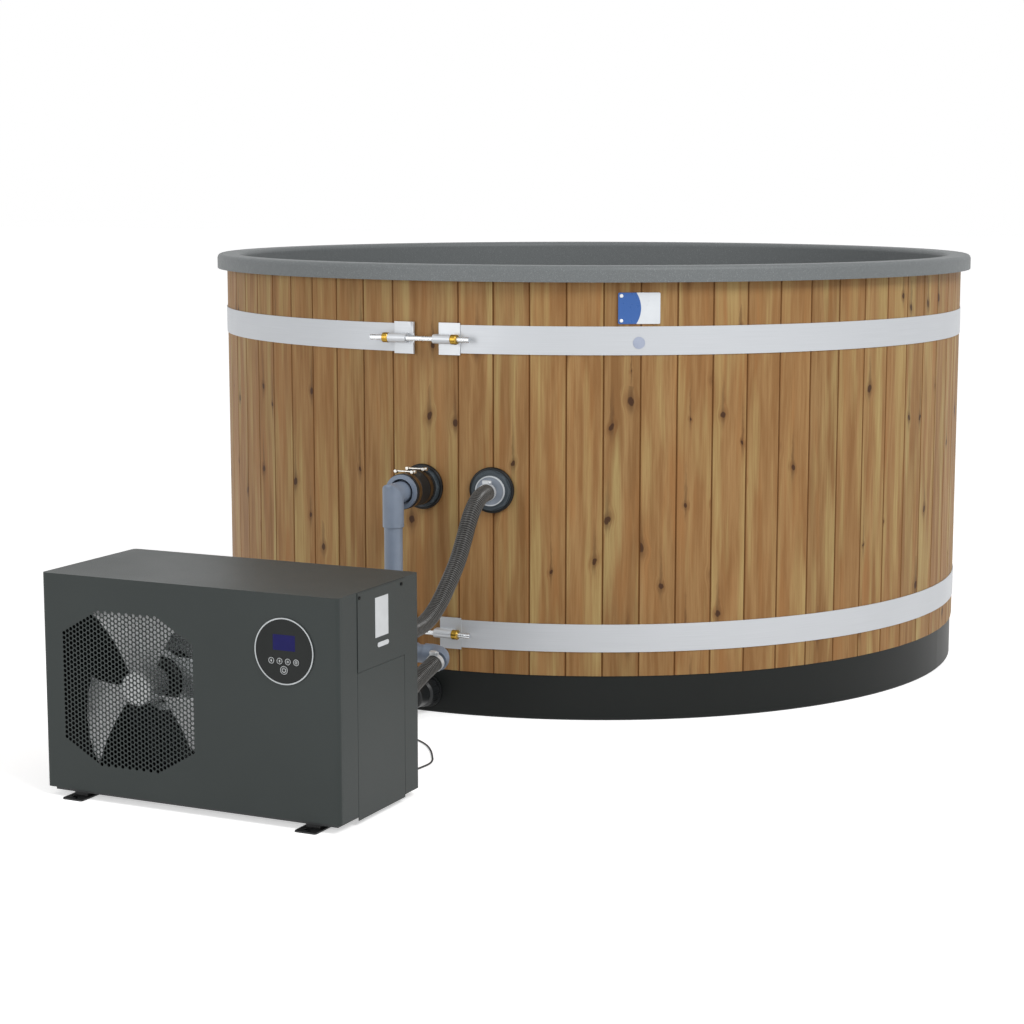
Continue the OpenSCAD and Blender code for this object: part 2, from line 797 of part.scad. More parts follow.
// Band clamp with a bolt across its top
module coupling_clamp(out) {
    r = coupling_d / 2 - clamp_groove;
    at_suction(out) union() {
        tube(2 * (r + 1), 2 * r + 0.05, clamp_w, 64);
        for (s = [-1, 1]) {
            translate([s * 20 - 3, r, clamp_w / 2 - 5]) cube([2, 5.5, 10]);
            translate([s * 20 - 2, r + 5, 1]) cylinder(d = 7, h = clamp_w - 2, $fn = small_fn);
        }
        translate([-24, r + 5, clamp_w / 2]) rotate([0, 90, 0])
            cylinder(d = 4, h = 48, $fn = small_fn);
        translate([22, r + 5, clamp_w / 2]) rotate([0, 90, 0]) cylinder(d = 8, h = 4, $fn = 6);
    }
}

module coupling_clamps()
    color("#b9a89a") {
        coupling_clamp(coupling_y0 + clamp_in);
        coupling_clamp(coupling_y1 - clamp_in - clamp_w);
    }

module coupling_bush()
    color("#7f8d9c") at_suction(coupling_y1) difference() {
        union() {
            cylinder(d = bush_lip_d, h = bush_lip_t, $fn = 64);
            translate([0, 0, -bush_depth]) cylinder(d = stub_d, h = bush_depth + 1, $fn = round_fn);
        }
        translate([0, 0, -bush_recess])
            cylinder(d = bush_recess_d, h = bush_recess + bush_lip_t + 1, $fn = round_fn);
        translate([0, 0, -bush_depth - 1]) cylinder(d = pipe_d + 0.1, h = bush_depth, $fn = round_fn);
    }

// Elbow with its middle at the origin: one leg along +Z, one along +X
module elbow_solid(d, leg_z, leg_x) {
    translate([0, 0, bend_r]) cylinder(d = d, h = leg_z - bend_r, $fn = round_fn);
    translate([bend_r, 0, 0]) rotate([0, 90, 0]) cylinder(d = d, h = leg_x - bend_r, $fn = round_fn);
    translate([bend_r, 0, bend_r]) rotate([90, 0, 0]) rotate([0, 0, 180])
        rotate_extrude(angle = 90, $fn = round_fn) translate([bend_r, 0]) circle(d = d, $fn = round_fn);
}

// Two legs that meet on a 45 degree mitre, with the outer corner rounded off
module mitre_solid(d, leg_z, leg_x)
    intersection() {
        union() {
            intersection() {
                translate([0, 0, -d]) cylinder(d = d, h = leg_z + d, $fn = round_fn);
                rotate([90, 0, 0]) linear_extrude(2 * d, center = true)
                    polygon([[-d, -d], [leg_z + d, leg_z + d], [-d, leg_z + d]]);
            }
            intersection() {
                translate([-d, 0, 0]) rotate([0, 90, 0]) cylinder(d = d, h = leg_x + d, $fn = round_fn);
                rotate([90, 0, 0]) linear_extrude(2 * d, center = true)
                    polygon([[-d, -d], [leg_x + d, -d], [leg_x + d, leg_x + d]]);
            }
        }
        rotate([90, 0, 0]) linear_extrude(2 * d, center = true) polygon(concat(
            arc([mitre_round - d / 2, mitre_round - d / 2], mitre_round, 180, 270, 6),
            [[leg_x + d, -d / 2], [leg_x + d, leg_z + d], [-d / 2, leg_z + d]]));
    }

module elbow(leg_z, leg_x, with_boss = false, socket_z = socket_depth, mitred = false)
    difference() {
        union() {
            if (mitred) mitre_solid(socket_d, leg_z, leg_x);
            else elbow_solid(socket_d, leg_z, leg_x);
            // The boss holds the end of the sensor lead
            if (with_boss) translate([lead_boss_x, 0, 0]) rotate([90, 0, 0])
                cylinder(d = lead_boss_d, h = lead_boss_y, $fn = small_fn);
        }
        elbow_solid(pipe_d - 2 * pipe_t, leg_z + 1, leg_x + 1);
        translate([0, 0, leg_z - socket_z])
            cylinder(d = pipe_d + 0.1, h = socket_z + 1, $fn = round_fn);
        translate([leg_x - 15, 0, 0]) rotate([0, 90, 0])
            cylinder(d = pipe_d + 0.1, h = 16, $fn = round_fn);
    }

elbow_back = -pipe_y - coupling_y1 + bush_recess - 0.2;

module pvc_elbows()
    color("#8593a1") {
        // Upper: one leg down, one leg back into the bush
        translate([suction_x, pipe_y, port_z]) rotate([180, 0, 90])
            elbow(socket_len, elbow_back, mitred = true);
        // Lower: one leg up, one leg along the run
        translate([suction_x, pipe_y, run_z]) elbow(socket_len, socket_short, true);
        // Outlet: one leg back along the run, one leg towards the heat pump
        translate([outlet_x, pipe_y, run_z]) rotate([90 + outlet_tilt, 0, 0])
            mirror([1, 0, 0]) elbow(outlet_mouth, outlet_leg, socket_z = outlet_socket);
    }

module pvc_pipes()
    color("#7d8b99") {
        translate([suction_x, pipe_y, run_z + socket_len - socket_depth + 0.2])
            tube(pipe_d, pipe_d - 2 * pipe_t,
                port_z - run_z - 2 * (socket_len - socket_depth) - 0.4);
        translate([suction_x + socket_short - 14.8, pipe_y, run_z]) rotate([0, 90, 0])
            tube(pipe_d, pipe_d - 2 * pipe_t, run_len - socket_short - outlet_leg + 29.6);
        translate([suction_x, pipe_y + elbow_back - 14.8, port_z]) rotate([-90, 0, 0])
            tube(pipe_d, pipe_d - 2 * pipe_t, 14.8 + 18);
    }

// Barbed tail: a root that fits a socket, and rings that hold the hose
module barbed_tail(root_d, root_len, len) {
    difference() {
        union() {
            translate([0, 0, -root_len]) cylinder(d = root_d, h = root_len, $fn = round_fn);
            rotate_extrude($fn = round_fn) polygon(concat(
                [[0, -1]],
                [[tail_d / 2 - 1, -1]],
                [for (k = [0 : 2]) each [[tail_d / 2 - 1, len - 24 + 8 * k],
                    [tail_d / 2, len - 24 + 8 * k], [tail_d / 2 - 0.8, len - 17 + 8 * k]]],
                [[0, len - 1]]));
        }
        translate([0, 0, -root_len - 1])
            cylinder(d = tail_bore, h = root_len + len + 2, $fn = round_fn);
    }
}

module hose_tail()
    color("#7d8b99") translate([outlet_x, pipe_y, run_z]) rotate([90 + outlet_tilt, 0, 0])
        translate([0, 0, outlet_mouth - 0.2])
            barbed_tail(pipe_d, outlet_socket - 1, tail_len);

// Grey disc that closes the return nut, with the tail that the hose slips on
return_tail_out = return_seat + gasket_t + flange_t + flange_nut_t;

module return_tail()
    color("#aeb6bc") at_return(return_tail_out) union() {
        difference() {
            union() {
                cylinder(d = return_disc_d, h = return_disc_t, $fn = 64);
                translate([0, 0, return_disc_t - 1])
                    tube(return_disc_d, return_disc_d - 5, 2.5, 64);
            }
            translate([0, 0, -1]) cylinder(d = tail_bore, h = 20, $fn = round_fn);
        }
        translate([0, 0, return_disc_t])
            barbed_tail(tail_d, 0.5, 46);
    }

module return_hose()
    color("#3c3b3a") ribbed_hose(return_route, hose_d, hose_bore, rib_depth, rib_pitch);

module supply_hose()
    color("#3c3b3a") ribbed_hose(supply_route, hose_d, hose_bore, rib_depth, rib_pitch);

// Worm-drive clamp: band and screw housing, drawn about +Z
clamp_ring_d = hose_d / cos(11.25) + 0.3;

module hose_clamp() {
    tube(clamp_ring_d + 2, clamp_ring_d, 11);
    translate([-9, clamp_ring_d / 2 + 0.4, 1]) cube([14, 7, 9]);
    translate([5, clamp_ring_d / 2 + 4, 5.5]) rotate([0, 90, 0])
        cylinder(d = 7, h = 5, $fn = small_fn);
}

module hose_clamps()
    color("#c7ccd0") {
        translate([outlet_x, pipe_y, run_z]) rotate([90 + outlet_tilt, 0, 0])
            translate([0, 0, outlet_mouth + 4]) hose_clamp();
        at_return(wall_r + 37) rotate([0, 0, 90]) hose_clamp();
        for (w = [return_union_w, supply_union_w])
            at_cabinet() translate([union_u, 355, w]) rotate([90, 0, 0]) hose_clamp();
    }

// ---------- Drain ----------

module drain_line()
    color("#26292b") {
        difference() {
            union() {
                translate([0, sump_y, drain_z]) sphere(d = pipe_d + 2 * pipe_t, $fn = round_fn);
                translate([0, sump_y, drain_z])
                    cylinder(d = pipe_d, h = well_z - shell_t - drain_z + 3, $fn = round_fn);
                translate([0, sump_y, drain_z]) rotate([90, 0, 0])
                    cylinder(d = pipe_d, h = base_r + sump_y + 20, $fn = round_fn);
            }
            translate([0, sump_y, drain_z]) cylinder(d = pipe_d - 2 * pipe_t, h = 80, $fn = round_fn);
            translate([0, sump_y, drain_z]) rotate([90, 0, 0])
                cylinder(d = pipe_d - 2 * pipe_t, h = base_r, $fn = round_fn);
        }
        // Flange on the skirt; a round nut behind the cap holds it
        at_drain(base_r + 0.3) tube(drain_flange_d, pipe_d + 0.1, 5, 64);
    }

module drain_strainer()
    color("#b9bec2") translate([0, sump_y, well_z]) difference() {
        rotate_extrude($fn = round_fn) polygon([[0, 0.1], [36, 0.1], [36, 2], [30, 5], [0, 6]]);
        for (ring = [1, 2], k = [0 : 6 * ring - 1]) rotate([0, 0, 60 * k / ring])
            translate([11 * ring, 0, -1]) cylinder(d = 6, h = 10, $fn = small_fn);
    }

module drain_cap()
    color("#141617") at_drain(base_r + 5.6) difference() {
        rotate_extrude($fn = 64) polygon(concat(
            [[0, 0], [drain_cap_d / 2, 0], [drain_cap_d / 2 - 2, 26], [drain_cap_d / 2 - 6, 32]],
            arc([drain_cap_d / 2 - 12, drain_out - 12], 6, 0, 90, 4),
            [[0, drain_out - 6]]));
        translate([0, 0, -1]) cylinder(d = pipe_d + 0.1, h = 45, $fn = round_fn);
        for (k = [0 : 11]) rotate([0, 0, 30 * k])
            translate([drain_cap_d / 2 + 1.5, 0, -1]) cylinder(d = 7, h = 30, $fn = small_fn);
    }

// ---------- Plates on the wall ----------

plate_out = wall_r + 0.2;
plate_t = 1.5;
plate_hole_in = 7;
plate_screw_d = 4;

module on_plate() rotate([0, 0, plate_dir]) translate([plate_out, -plate_w / 2, plate_z]) children();

module name_plate()
    color("#2f6fb3") on_plate() difference() {
        rotate([90, 0, 90]) linear_extrude(plate_t) hull()
            for (y = [3, plate_w - 3], z = [3, plate_h - 3])
                translate([y, z]) circle(r = 3, $fn = small_fn);
        for (z = [plate_hole_in, plate_h - plate_hole_in])
            translate([-1, plate_hole_in, z]) rotate([0, 90, 0])
                cylinder(d = plate_screw_d + 0.4, h = plate_t + 2, $fn = small_fn);
    }

module plate_screws()
    color("white") on_plate() for (z = [plate_hole_in, plate_h - plate_hole_in])
        translate([0.1, plate_hole_in, z]) rotate([0, 90, 0])
            rotate_extrude($fn = small_fn) polygon([
                [0, 0], [plate_screw_d / 2, 0], [plate_screw_d / 2, plate_t], [4, plate_t],
                [3.6, plate_t + 1.4], [2, plate_t + 2.2], [0, plate_t + 2.4]]);

label_t = 0.5;

module plain_labels()
    color("white") {
        rotate([0, 0, plate_dir]) translate([band_r1 + 0.1, 0, high_band_z + 26.5])
            rotate([0, 90, 0]) cylinder(d = sticker_d, h = label_t, $fn = round_fn);
        at_cabinet() {
            translate([hp_w + cover_proud, 134, 331]) cube([label_t, 50, 75]);
            translate([hp_w + cover_proud, 0, 316]) rotate([90, 0, 90]) linear_extrude(label_t) hull()
                for (y = [147, 181]) translate([y, 0]) circle(d = 9, $fn = small_fn);
        }
    }

// ---------- Heat pump cabinet ----------

cover_proud = 1.2;

module base_pan()
    color("#2c2f30") at_cabinet() difference() {
        union() {
            translate([pan_in, pan_in, 0]) cube([hp_w - 2 * pan_in, hp_d - 2 * pan_in - 8, pan_h]);
            translate([sheet_t + 0.1, sheet_t + 0.1, pan_h - pan_t])
                cube([hp_w - 2 * sheet_t - 0.2, hp_d - 2 * sheet_t - 0.2, pan_t]);
        }
        translate([pan_in + pan_t, pan_in + pan_t, pan_t])
            cube([hp_w - 2 * pan_in - 2 * pan_t, hp_d - 2 * pan_in - 8 - 2 * pan_t, pan_h]);
        // The lip is cut back from the cabinet's rounded corners
        for (u = [0, hp_w - corner_r], v = [0, hp_d - corner_r])
            translate([u - 1, v - 1, pan_h - pan_t - 1]) cube([corner_r + 2, corner_r + 2, pan_t + 2]);
    }

foot_bolt_v = -foot_out + 7;
foot_bolt_d = 8;

// Two rails that the cabinet stands on, each a flat plate with a raised web
module foot_rail(u)
    difference() {
        union() {
            translate([u, 0, -hp_z]) linear_extrude(foot_t) hull()
                for (x = [5, foot_w - 5], y = [-foot_out + 5, hp_d + foot_out - 5])
                    translate([x, y]) circle(r = 5, $fn = small_fn);
            translate([u + 8, pan_in + 4, -hp_z + foot_t - 1])
                cube([foot_w - 16, hp_d - 2 * pan_in - 16, hp_z - foot_t + 1]);
        }
        for (v = [foot_bolt_v, hp_d - foot_bolt_v])
            translate([u + foot_w / 2, v, -hp_z - 1])
                cylinder(d = foot_bolt_d + 0.4, h = hp_z, $fn = small_fn);
    }

module foot_rails()
    color("#101112") at_cabinet() {
        foot_rail(foot_in);
        foot_rail(hp_w - foot_in - foot_w);
    }

module pan_head(d, shank, shank_d)
    difference() {
        rotate_extrude($fn = small_fn) polygon([
            [0, -shank], [shank_d / 2, -shank], [shank_d / 2, 0], [d / 2, 0],
            [d / 2 - 0.4, d / 4], [0, d / 3]]);
        // Cross recess
        for (a = [0, 90]) rotate([0, 0, a])
            translate([-d / 4, -d / 16, d / 8]) cube([d / 2, d / 8, d]);
    }

module cabinet_screws()
    color("#55595b") at_cabinet() {
        // Foot bolts
        for (u = [foot_in, hp_w - foot_in - foot_w], v = [foot_bolt_v, hp_d - foot_bolt_v])
            translate([u + foot_w / 2, v, -hp_z + foot_t + 0.1])
                pan_head(13, foot_t - 0.2, foot_bolt_d);
        // Screws along the top of the service cover
        for (v = cover_screw_v)
            translate([hp_w + cover_proud + 0.05, v, cover_screw_w]) rotate([0, 90, 0])
                pan_head(7, 1.5, 3.6);
    }

cover_screw_v = [75, 236];
cover_screw_w = 416;
screw_hole = 4;

// The punched holes lie in columns, every other column half a step up
module punched_octagon() {
    nu = ceil(grille_half_w / column_pitch);
    nw = ceil(grille_half_h / punch_pitch) + 1;
    r = punch_d / 2;
    for (i = [-nu : nu], j = [-nw : nw]) {
        u = i * column_pitch;
        w = (j + (abs(i) % 2) / 2) * punch_pitch;
        slope_w = grille_half_h - (abs(u) - grille_top) * tan(grille_slope);
        if (abs(u) <= grille_half_w - r && abs(w) <= grille_half_h - r
            && abs(w) <= slope_w - r / cos(grille_slope))
            translate([u, w]) circle(d = punch_d, $fn = 16);
    }
}

dial_hole_d = dial_d - 2 * dial_ring - 2;

module front_panel()
    color("#404443") at_cabinet() {
        translate([0, sheet_t, 0]) rotate([90, 0, 0]) linear_extrude(sheet_t) difference() {
            translate([corner_r, panel_z]) square([hp_w - 2 * corner_r, cabinet_top - panel_z]);
            translate([fan_u, fan_w]) punched_octagon();
            translate([dial_u, dial_w]) circle(d = dial_hole_d, $fn = 64);
        }
        translate([0, 0, panel_z]) linear_extrude(cabinet_top - panel_z)
            for (s = [0, 1]) translate([s * hp_w, 0]) mirror([s, 0]) {
                difference() {
                    translate([corner_r, corner_r]) circle(r = corner_r, $fn = round_fn);
                    translate([corner_r, corner_r]) circle(r = corner_r - sheet_t, $fn = round_fn);
                    translate([corner_r, -1]) square(3 * corner_r);
                    translate([-1, corner_r]) square(3 * corner_r);
                }
                translate([0, corner_r]) square([sheet_t, post_return]);
            }
    }

module cabinet_outline(inset, r)
    hull() for (u = [r + inset, hp_w - r - inset], v = [r + inset, hp_d - r - inset])
        translate([u, v]) circle(r = r, $fn = 32);

module top_cover()
    color("#737978") at_cabinet() union() {
        translate([0, 0, cabinet_top]) linear_extrude(sheet_t) cabinet_outline(0, corner_r);
        translate([0, 0, cabinet_top - top_hem]) linear_extrude(top_hem + sheet_t / 2) difference() {
            cabinet_outline(sheet_t + 0.2, corner_r - sheet_t);
            cabinet_outline(2 * sheet_t + 0.2, corner_r - 2 * sheet_t);
        }
    }

side_v0 = post_d + seam / 2;
side_v1 = post_d + cover_d - seam / 2;

module side_panels()
    color("#5f6263") at_cabinet() {
        difference() {
            translate([0, side_v0, panel_z])
                cube([sheet_t, side_v1 - side_v0, cabinet_top - panel_z - 6]);
            translate([-5, mains_v, gland_w]) rotate([0, 90, 0])
                cylinder(d = 16.4, h = 10, $fn = small_fn);
        }
        translate([hp_w - sheet_t, side_v0, 0])
            cube([sheet_t, side_v1 - side_v0, cover_z - seam]);
    }

// Raised cover on the right side; the wiring and the valves are reached through it
module service_cover()
    color("#666a6b") at_cabinet() difference() {
        translate([hp_w - sheet_t, side_v0, cover_z])
            cube([sheet_t + cover_proud, side_v1 - side_v0, cabinet_top - cover_z - 0.3]);
        for (v = cover_screw_v) translate([hp_w - 5, v, cover_screw_w]) rotate([0, 90, 0])
            cylinder(d = screw_hole, h = 10, $fn = small_fn);
    }

rear_strip = 12;

// Upright corner pieces between the front panel, the side panels and the back
module corner_posts()
    color("#5b5e5f") at_cabinet() for (s = [0, 1]) translate([s * hp_w, 0, 0]) mirror([s, 0, 0]) {
        h = cabinet_top - panel_z;
        translate([0, front_return + 0.2, panel_z])
            cube([sheet_t, post_d - seam / 2 - front_return - 0.2, h]);
        translate([0, 0, panel_z - 3]) linear_extrude(h + 3) union() {
            translate([0, side_v1 + seam]) square([sheet_t, hp_d - corner_r - side_v1 - seam]);
            translate([corner_r, hp_d - sheet_t]) square([rear_strip, sheet_t]);
            difference() {
                translate([corner_r, hp_d - corner_r]) circle(r = corner_r, $fn = round_fn);
                translate([corner_r, hp_d - corner_r]) circle(r = corner_r - sheet_t, $fn = round_fn);
                translate([corner_r, hp_d - 3 * corner_r]) square(4 * corner_r);
                translate([-1, hp_d - 4 * corner_r]) square(3 * corner_r);
            }
        }
    }

rear_u0 = corner_r + rear_strip + 0.5;

module rear_panel()
    color("#585b5c") at_cabinet() translate([0, hp_d, 0]) rotate([90, 0, 0])
        linear_extrude(sheet_t) difference() {
            translate([rear_u0, panel_z - 3])
                square([hp_w - 2 * rear_u0, cabinet_top - panel_z + 3]);
            // Air intake in front of the evaporator
            for (i = [0 : 13], j = [0 : 16])
                translate([intake_u0 + 4 + i * (intake_u1 - intake_u0) / 14,
                    intake_w0 + j * (intake_w1 - intake_w0) / 17])
                    square([(intake_u1 - intake_u0) / 14 - 5, (intake_w1 - intake_w0) / 17 - 5]);
            for (w = [return_union_w, supply_union_w])
                translate([union_u, w]) circle(d = pipe_d + 1, $fn = round_fn);
            translate([gland_u, gland_w]) circle(d = 12.4, $fn = small_fn);
        }

// ---------- Heat pump works ----------

// Ring round the fan on a flat plate, with the wall that parts the fan from the works
module fan_shroud() {
    r = fan_r + shroud_gap;
    plate_v = ring_v0 + ring_len - shroud_t;
    color("#1a1b1c") at_cabinet() union() {
        into_front(fan_u, fan_w, ring_v0) tube(2 * (r + shroud_t), 2 * r, ring_len, fine);
        difference() {
            translate([pan_in + pan_t + 0.5, plate_v, pan_h + 1])
                cube([works_wall_u - pan_in - pan_t - 0.5, shroud_t, cabinet_top - pan_h - 8]);
            into_front(fan_u, fan_w, 0) cylinder(r = r, h = 200, $fn = fine);
        }
        translate([works_wall_u - shroud_t, plate_v, pan_t + 0.1])
            cube([shroud_t, coil_v0 + coil_d - plate_v, cabinet_top - pan_t - 8]);
    }
}

// Point on a blade: f runs from the hub to the tip, s from the front edge to the back edge,
// side is 0 on the front face and 1 on the back face
function blade_pt(f, s, side) =
    let (
        tip = fan_r * (1 - 0.14 * s),
        r = hub_r - 4 + f * (tip - hub_r + 4),
        span = blade_span * (0.7 + 0.3 * pow(f, 1.5)),
        a = span * (s - 0.5),
        thick = 2.6 * (0.35 + 0.65 * sin(180 * s)),
        z = blade_rise * (0.5 + (s - 0.5) * span / blade_span) + 4 * sin(180 * s) + side * thick
    )
    [r * cos(a), r * sin(a), z];

module fan_blade() {
    nf = 6;
    ns = 10;
    row = ns + 1;
    sheet = (nf + 1) * row;
    function at(side, f, s) = side * sheet + f * row + s;
    function quad(a, b, c, d) = [[a, c, b], [a, d, c]];
    polyhedron(
        points = [for (side = [0, 1], f = [0 : nf], s = [0 : ns]) blade_pt(f / nf, s / ns, side)],
        faces = concat(
            [for (f = [0 : nf - 1], s = [0 : ns - 1])
                each quad(at(0, f, s), at(0, f, s + 1), at(0, f + 1, s + 1), at(0, f + 1, s))],
            [for (f = [0 : nf - 1], s = [0 : ns - 1])
                each quad(at(1, f, s), at(1, f + 1, s), at(1, f + 1, s + 1), at(1, f, s + 1))],
            [for (s = [0 : ns - 1])
                each quad(at(0, 0, s), at(1, 0, s), at(1, 0, s + 1), at(0, 0, s + 1))],
            [for (s = [0 : ns - 1])
                each quad(at(0, nf, s), at(0, nf, s + 1), at(1, nf, s + 1), at(1, nf, s))],
            [for (f = [0 : nf - 1])
                each quad(at(0, f, 0), at(0, f + 1, 0), at(1, f + 1, 0), at(1, f, 0))],
            [for (f = [0 : nf - 1])
                each quad(at(0, f, ns), at(1, f, ns), at(1, f + 1, ns), at(0, f + 1, ns))]
        ),
        convexity = 6
    );
}

hub_front = 10;
hub_back = blade_rise - 4;
shaft_in = hub_front + 8;

module fan()
    color("#c3c8cb") at_cabinet() into_front(fan_u, fan_w, fan_front) difference() {
        union() {
            rotate_extrude($fn = round_fn) polygon(concat(
                [[0, hub_front]], arc([hub_r - 8, hub_front + 8], 8, -90, 0, 4),
                [[hub_r, hub_back], [0, hub_back]]));
            for (k = [0 : blades - 1]) rotate([0, 0, 360 * k / blades - blade_dir]) fan_blade();
        }
        translate([0, 0, shaft_in]) cylinder(d = shaft_d, h = blade_rise, $fn = round_fn);
    }

module fan_shaft()
    color("#b8bcc0") at_cabinet() into_front(fan_u, fan_w, fan_front + shaft_in)
        cylinder(d = shaft_d, h = motor_front + 45 - fan_front - shaft_in, $fn = round_fn);

// Motor with a flange round it that seats on the bracket
module fan_motor()
    color("#3a3d3f") at_cabinet() difference() {
        into_front(fan_u, fan_w, motor_front) rotate_extrude($fn = round_fn) polygon(concat(
            [[0, 0], [14, 0], [14, 6]], arc([motor_d / 2 - 8, 14], 8, -90, 0, 4),
            [[motor_d / 2, bracket_v + bracket_t + 0.1], [motor_d / 2 + 8, bracket_v + bracket_t + 0.1],
                [motor_d / 2 + 8, bracket_v + bracket_t + 4], [motor_d / 2, bracket_v + bracket_t + 4]],
            arc([motor_d / 2 - 8, motor_len - 8], 8, 0, 90, 4), [[0, motor_len]]));
        into_front(fan_u, fan_w, motor_front - 1)
            cylinder(d = shaft_d + 2 * shaft_clear, h = 48, $fn = round_fn);
    }

// Sheet plate from the works wall that carries the motor
module motor_bracket() {
    wall_u = works_wall_u - shroud_t - 0.1;
    fold = 24;
    color("#a9adaf") at_cabinet() union() {
        translate([0, motor_front + bracket_v + bracket_t, 0]) rotate([90, 0, 0])
            linear_extrude(bracket_t) difference() {
                union() {
                    translate([fan_u, fan_w + bracket_low])
                        square([wall_u - fan_u, bracket_high - bracket_low]);
                    translate([fan_u, fan_w]) circle(r = motor_d / 2 + 14, $fn = round_fn);
                }
                translate([fan_u, fan_w]) circle(d = motor_d + 0.6, $fn = round_fn);
            }
        translate([wall_u - bracket_t, motor_front + bracket_v, fan_w + bracket_low])
            cube([bracket_t, fold, bracket_high - bracket_low]);
    }
}

// Finned coil across the back, with its return bends at the right-hand end
module evaporator() {
    fins = 56;
    u0 = 20;
    u1 = 396;
    step = (u1 - u0) / fins;
    color("#9aa0a3") at_cabinet() union() {
        translate([0, 0, pan_t + 0.1]) linear_extrude(cabinet_top - pan_t - 10) difference() {
            translate([u0, coil_v0]) square([u1 - u0, coil_d]);
            for (k = [1 : fins - 1]) translate([u0 + k * step, coil_v0 + coil_d - 3])
                square([step / 2, 4]);
        }
        for (k = [0 : 6]) translate([u0 + 4, coil_v0 + coil_d / 2, pan_h + 40 + 50 * k])
            rotate([90, 0, -90]) rotate_extrude(angle = 180, $fn = small_fn)
                translate([12, 0]) circle(d = 8, $fn = 16);
    }
}

compressor_u = 470;
compressor_v = 186;

module compressor() {
    r = 58;
    h = 230;
    color("#202224") at_cabinet() union() {
        translate([compressor_u, compressor_v, pan_t + 12]) rotate_extrude($fn = round_fn)
            polygon(concat([[0, 0], [r - 20, 0]], arc([r - 20, 20], 20, -90, 0, 4),
                arc([r - 26, h - 26], 26, 0, 90, 5), [[0, h]]));
        translate([compressor_u, compressor_v, pan_t]) linear_extrude(13)
            hull() for (k = [0 : 2]) rotate([0, 0, 90 + 120 * k]) translate([66, 0]) circle(r = 10, $fn = small_fn);
        // Accumulator beside it, and the pipe between them
        translate([compressor_u + 20, compressor_v - 80, pan_t + 60])
            cylinder(d = 44, h = 130, $fn = round_fn);
        translate([compressor_u + 20, compressor_v - 80, pan_t + 80]) rotate([-90, 0, 14])
            cylinder(d = 14, h = 60, $fn = small_fn);
    }
}

exchanger_r = 39;
exchanger_u = union_u + 22;

module heat_exchanger()
    color("#2f3235") at_cabinet() union() {
        translate([exchanger_u, 176, pan_t + 0.2]) rotate_extrude($fn = round_fn) polygon(concat(
            [[0, 0], [exchanger_r, 0], [exchanger_r, 320]],
            arc([exchanger_r - 20, 330], 20, 0, 90, 4), [[0, 350]]));
        for (w = [return_union_w, supply_union_w])
            translate([union_u, 176, w]) rotate([-90, 0, 0]) cylinder(d = 32, h = 102, $fn = round_fn);
    }

// Bulkhead unions in the back panel, each with a barbed tail for a hose
union_face = 5;

module water_unions()
    color("#26292b") at_cabinet() for (w = [return_union_w, supply_union_w])
        translate([union_u, hp_d, w]) rotate([-90, 0, 0]) union() {
            difference() {
                union() {
                    cylinder(d = union_d, h = union_face, $fn = round_fn);
                    translate([0, 0, union_face - 1]) cylinder(d = 46, h = 13, $fn = 6);
                    translate([0, 0, -29.5]) cylinder(d = pipe_d, h = 30, $fn = round_fn);
                }
                translate([0, 0, -31]) cylinder(d = tail_bore, h = 60, $fn = round_fn);
            }
            translate([0, 0, union_face + 12]) barbed_tail(tail_d, 1, 38);
        }

// Cable gland through a panel: z is 0 at the panel's outer face
module gland(d, bore)
    difference() {
        union() {
            translate([0, 0, -8]) cylinder(d = d, h = 9, $fn = small_fn);
            cylinder(d = (d + 5) / cos(30), h = 6, $fn = 6);
            translate([0, 0, 5]) cylinder(d1 = d + 3, d2 = d - 2, h = 11, $fn = small_fn);
        }
        translate([0, 0, -9]) cylinder(d = bore, h = 30, $fn = small_fn);
    }

// Gland for the sensor lead in the back, and one for the mains cable in the left side
module cable_glands()
    color("#1a1b1c") at_cabinet() {
        translate([gland_u, hp_d, gland_w]) rotate([-90, 0, 0]) gland(12, lead_d + 0.6);
        translate([0, mains_v, gland_w]) rotate([0, -90, 0]) gland(16, mains_bore);
    }

module sensor_lead() color("#2e2e30") plain_lead(lead_route, lead_d, 62);

// ---------- Controller ----------

module on_dial(u = 0, w = 0, v = 0) at_cabinet() into_front(dial_u + u, dial_w + w, v) children();

module display_ring()
    color("#c9cdd0") on_dial(0, 0, ring_front) difference() {
        union() {
            cylinder(d = dial_d, h = -ring_front - 0.05, $fn = 96);
            translate([0, 0, -ring_front - 1]) cylinder(d = dial_hole_d - 0.4, h = 8, $fn = 96);
        }
        translate([0, 0, -1]) cylinder(d = dial_d - 2 * dial_ring, h = 1 - ring_front - 1, $fn = 96);
        translate([0, 0, -2]) cylinder(d = dial_hole_d - 4.4, h = 20, $fn = 96);
    }

key_places = [
    [-1.5 * key_pitch + key_row_shift, key_row, key_d],
    [-0.5 * key_pitch + key_row_shift, key_row, key_d],
    [0.5 * key_pitch + key_row_shift, key_row, key_d],
    [1.5 * key_pitch + key_row_shift, key_row, key_d],
    [0, big_key_row, big_key_d]
];

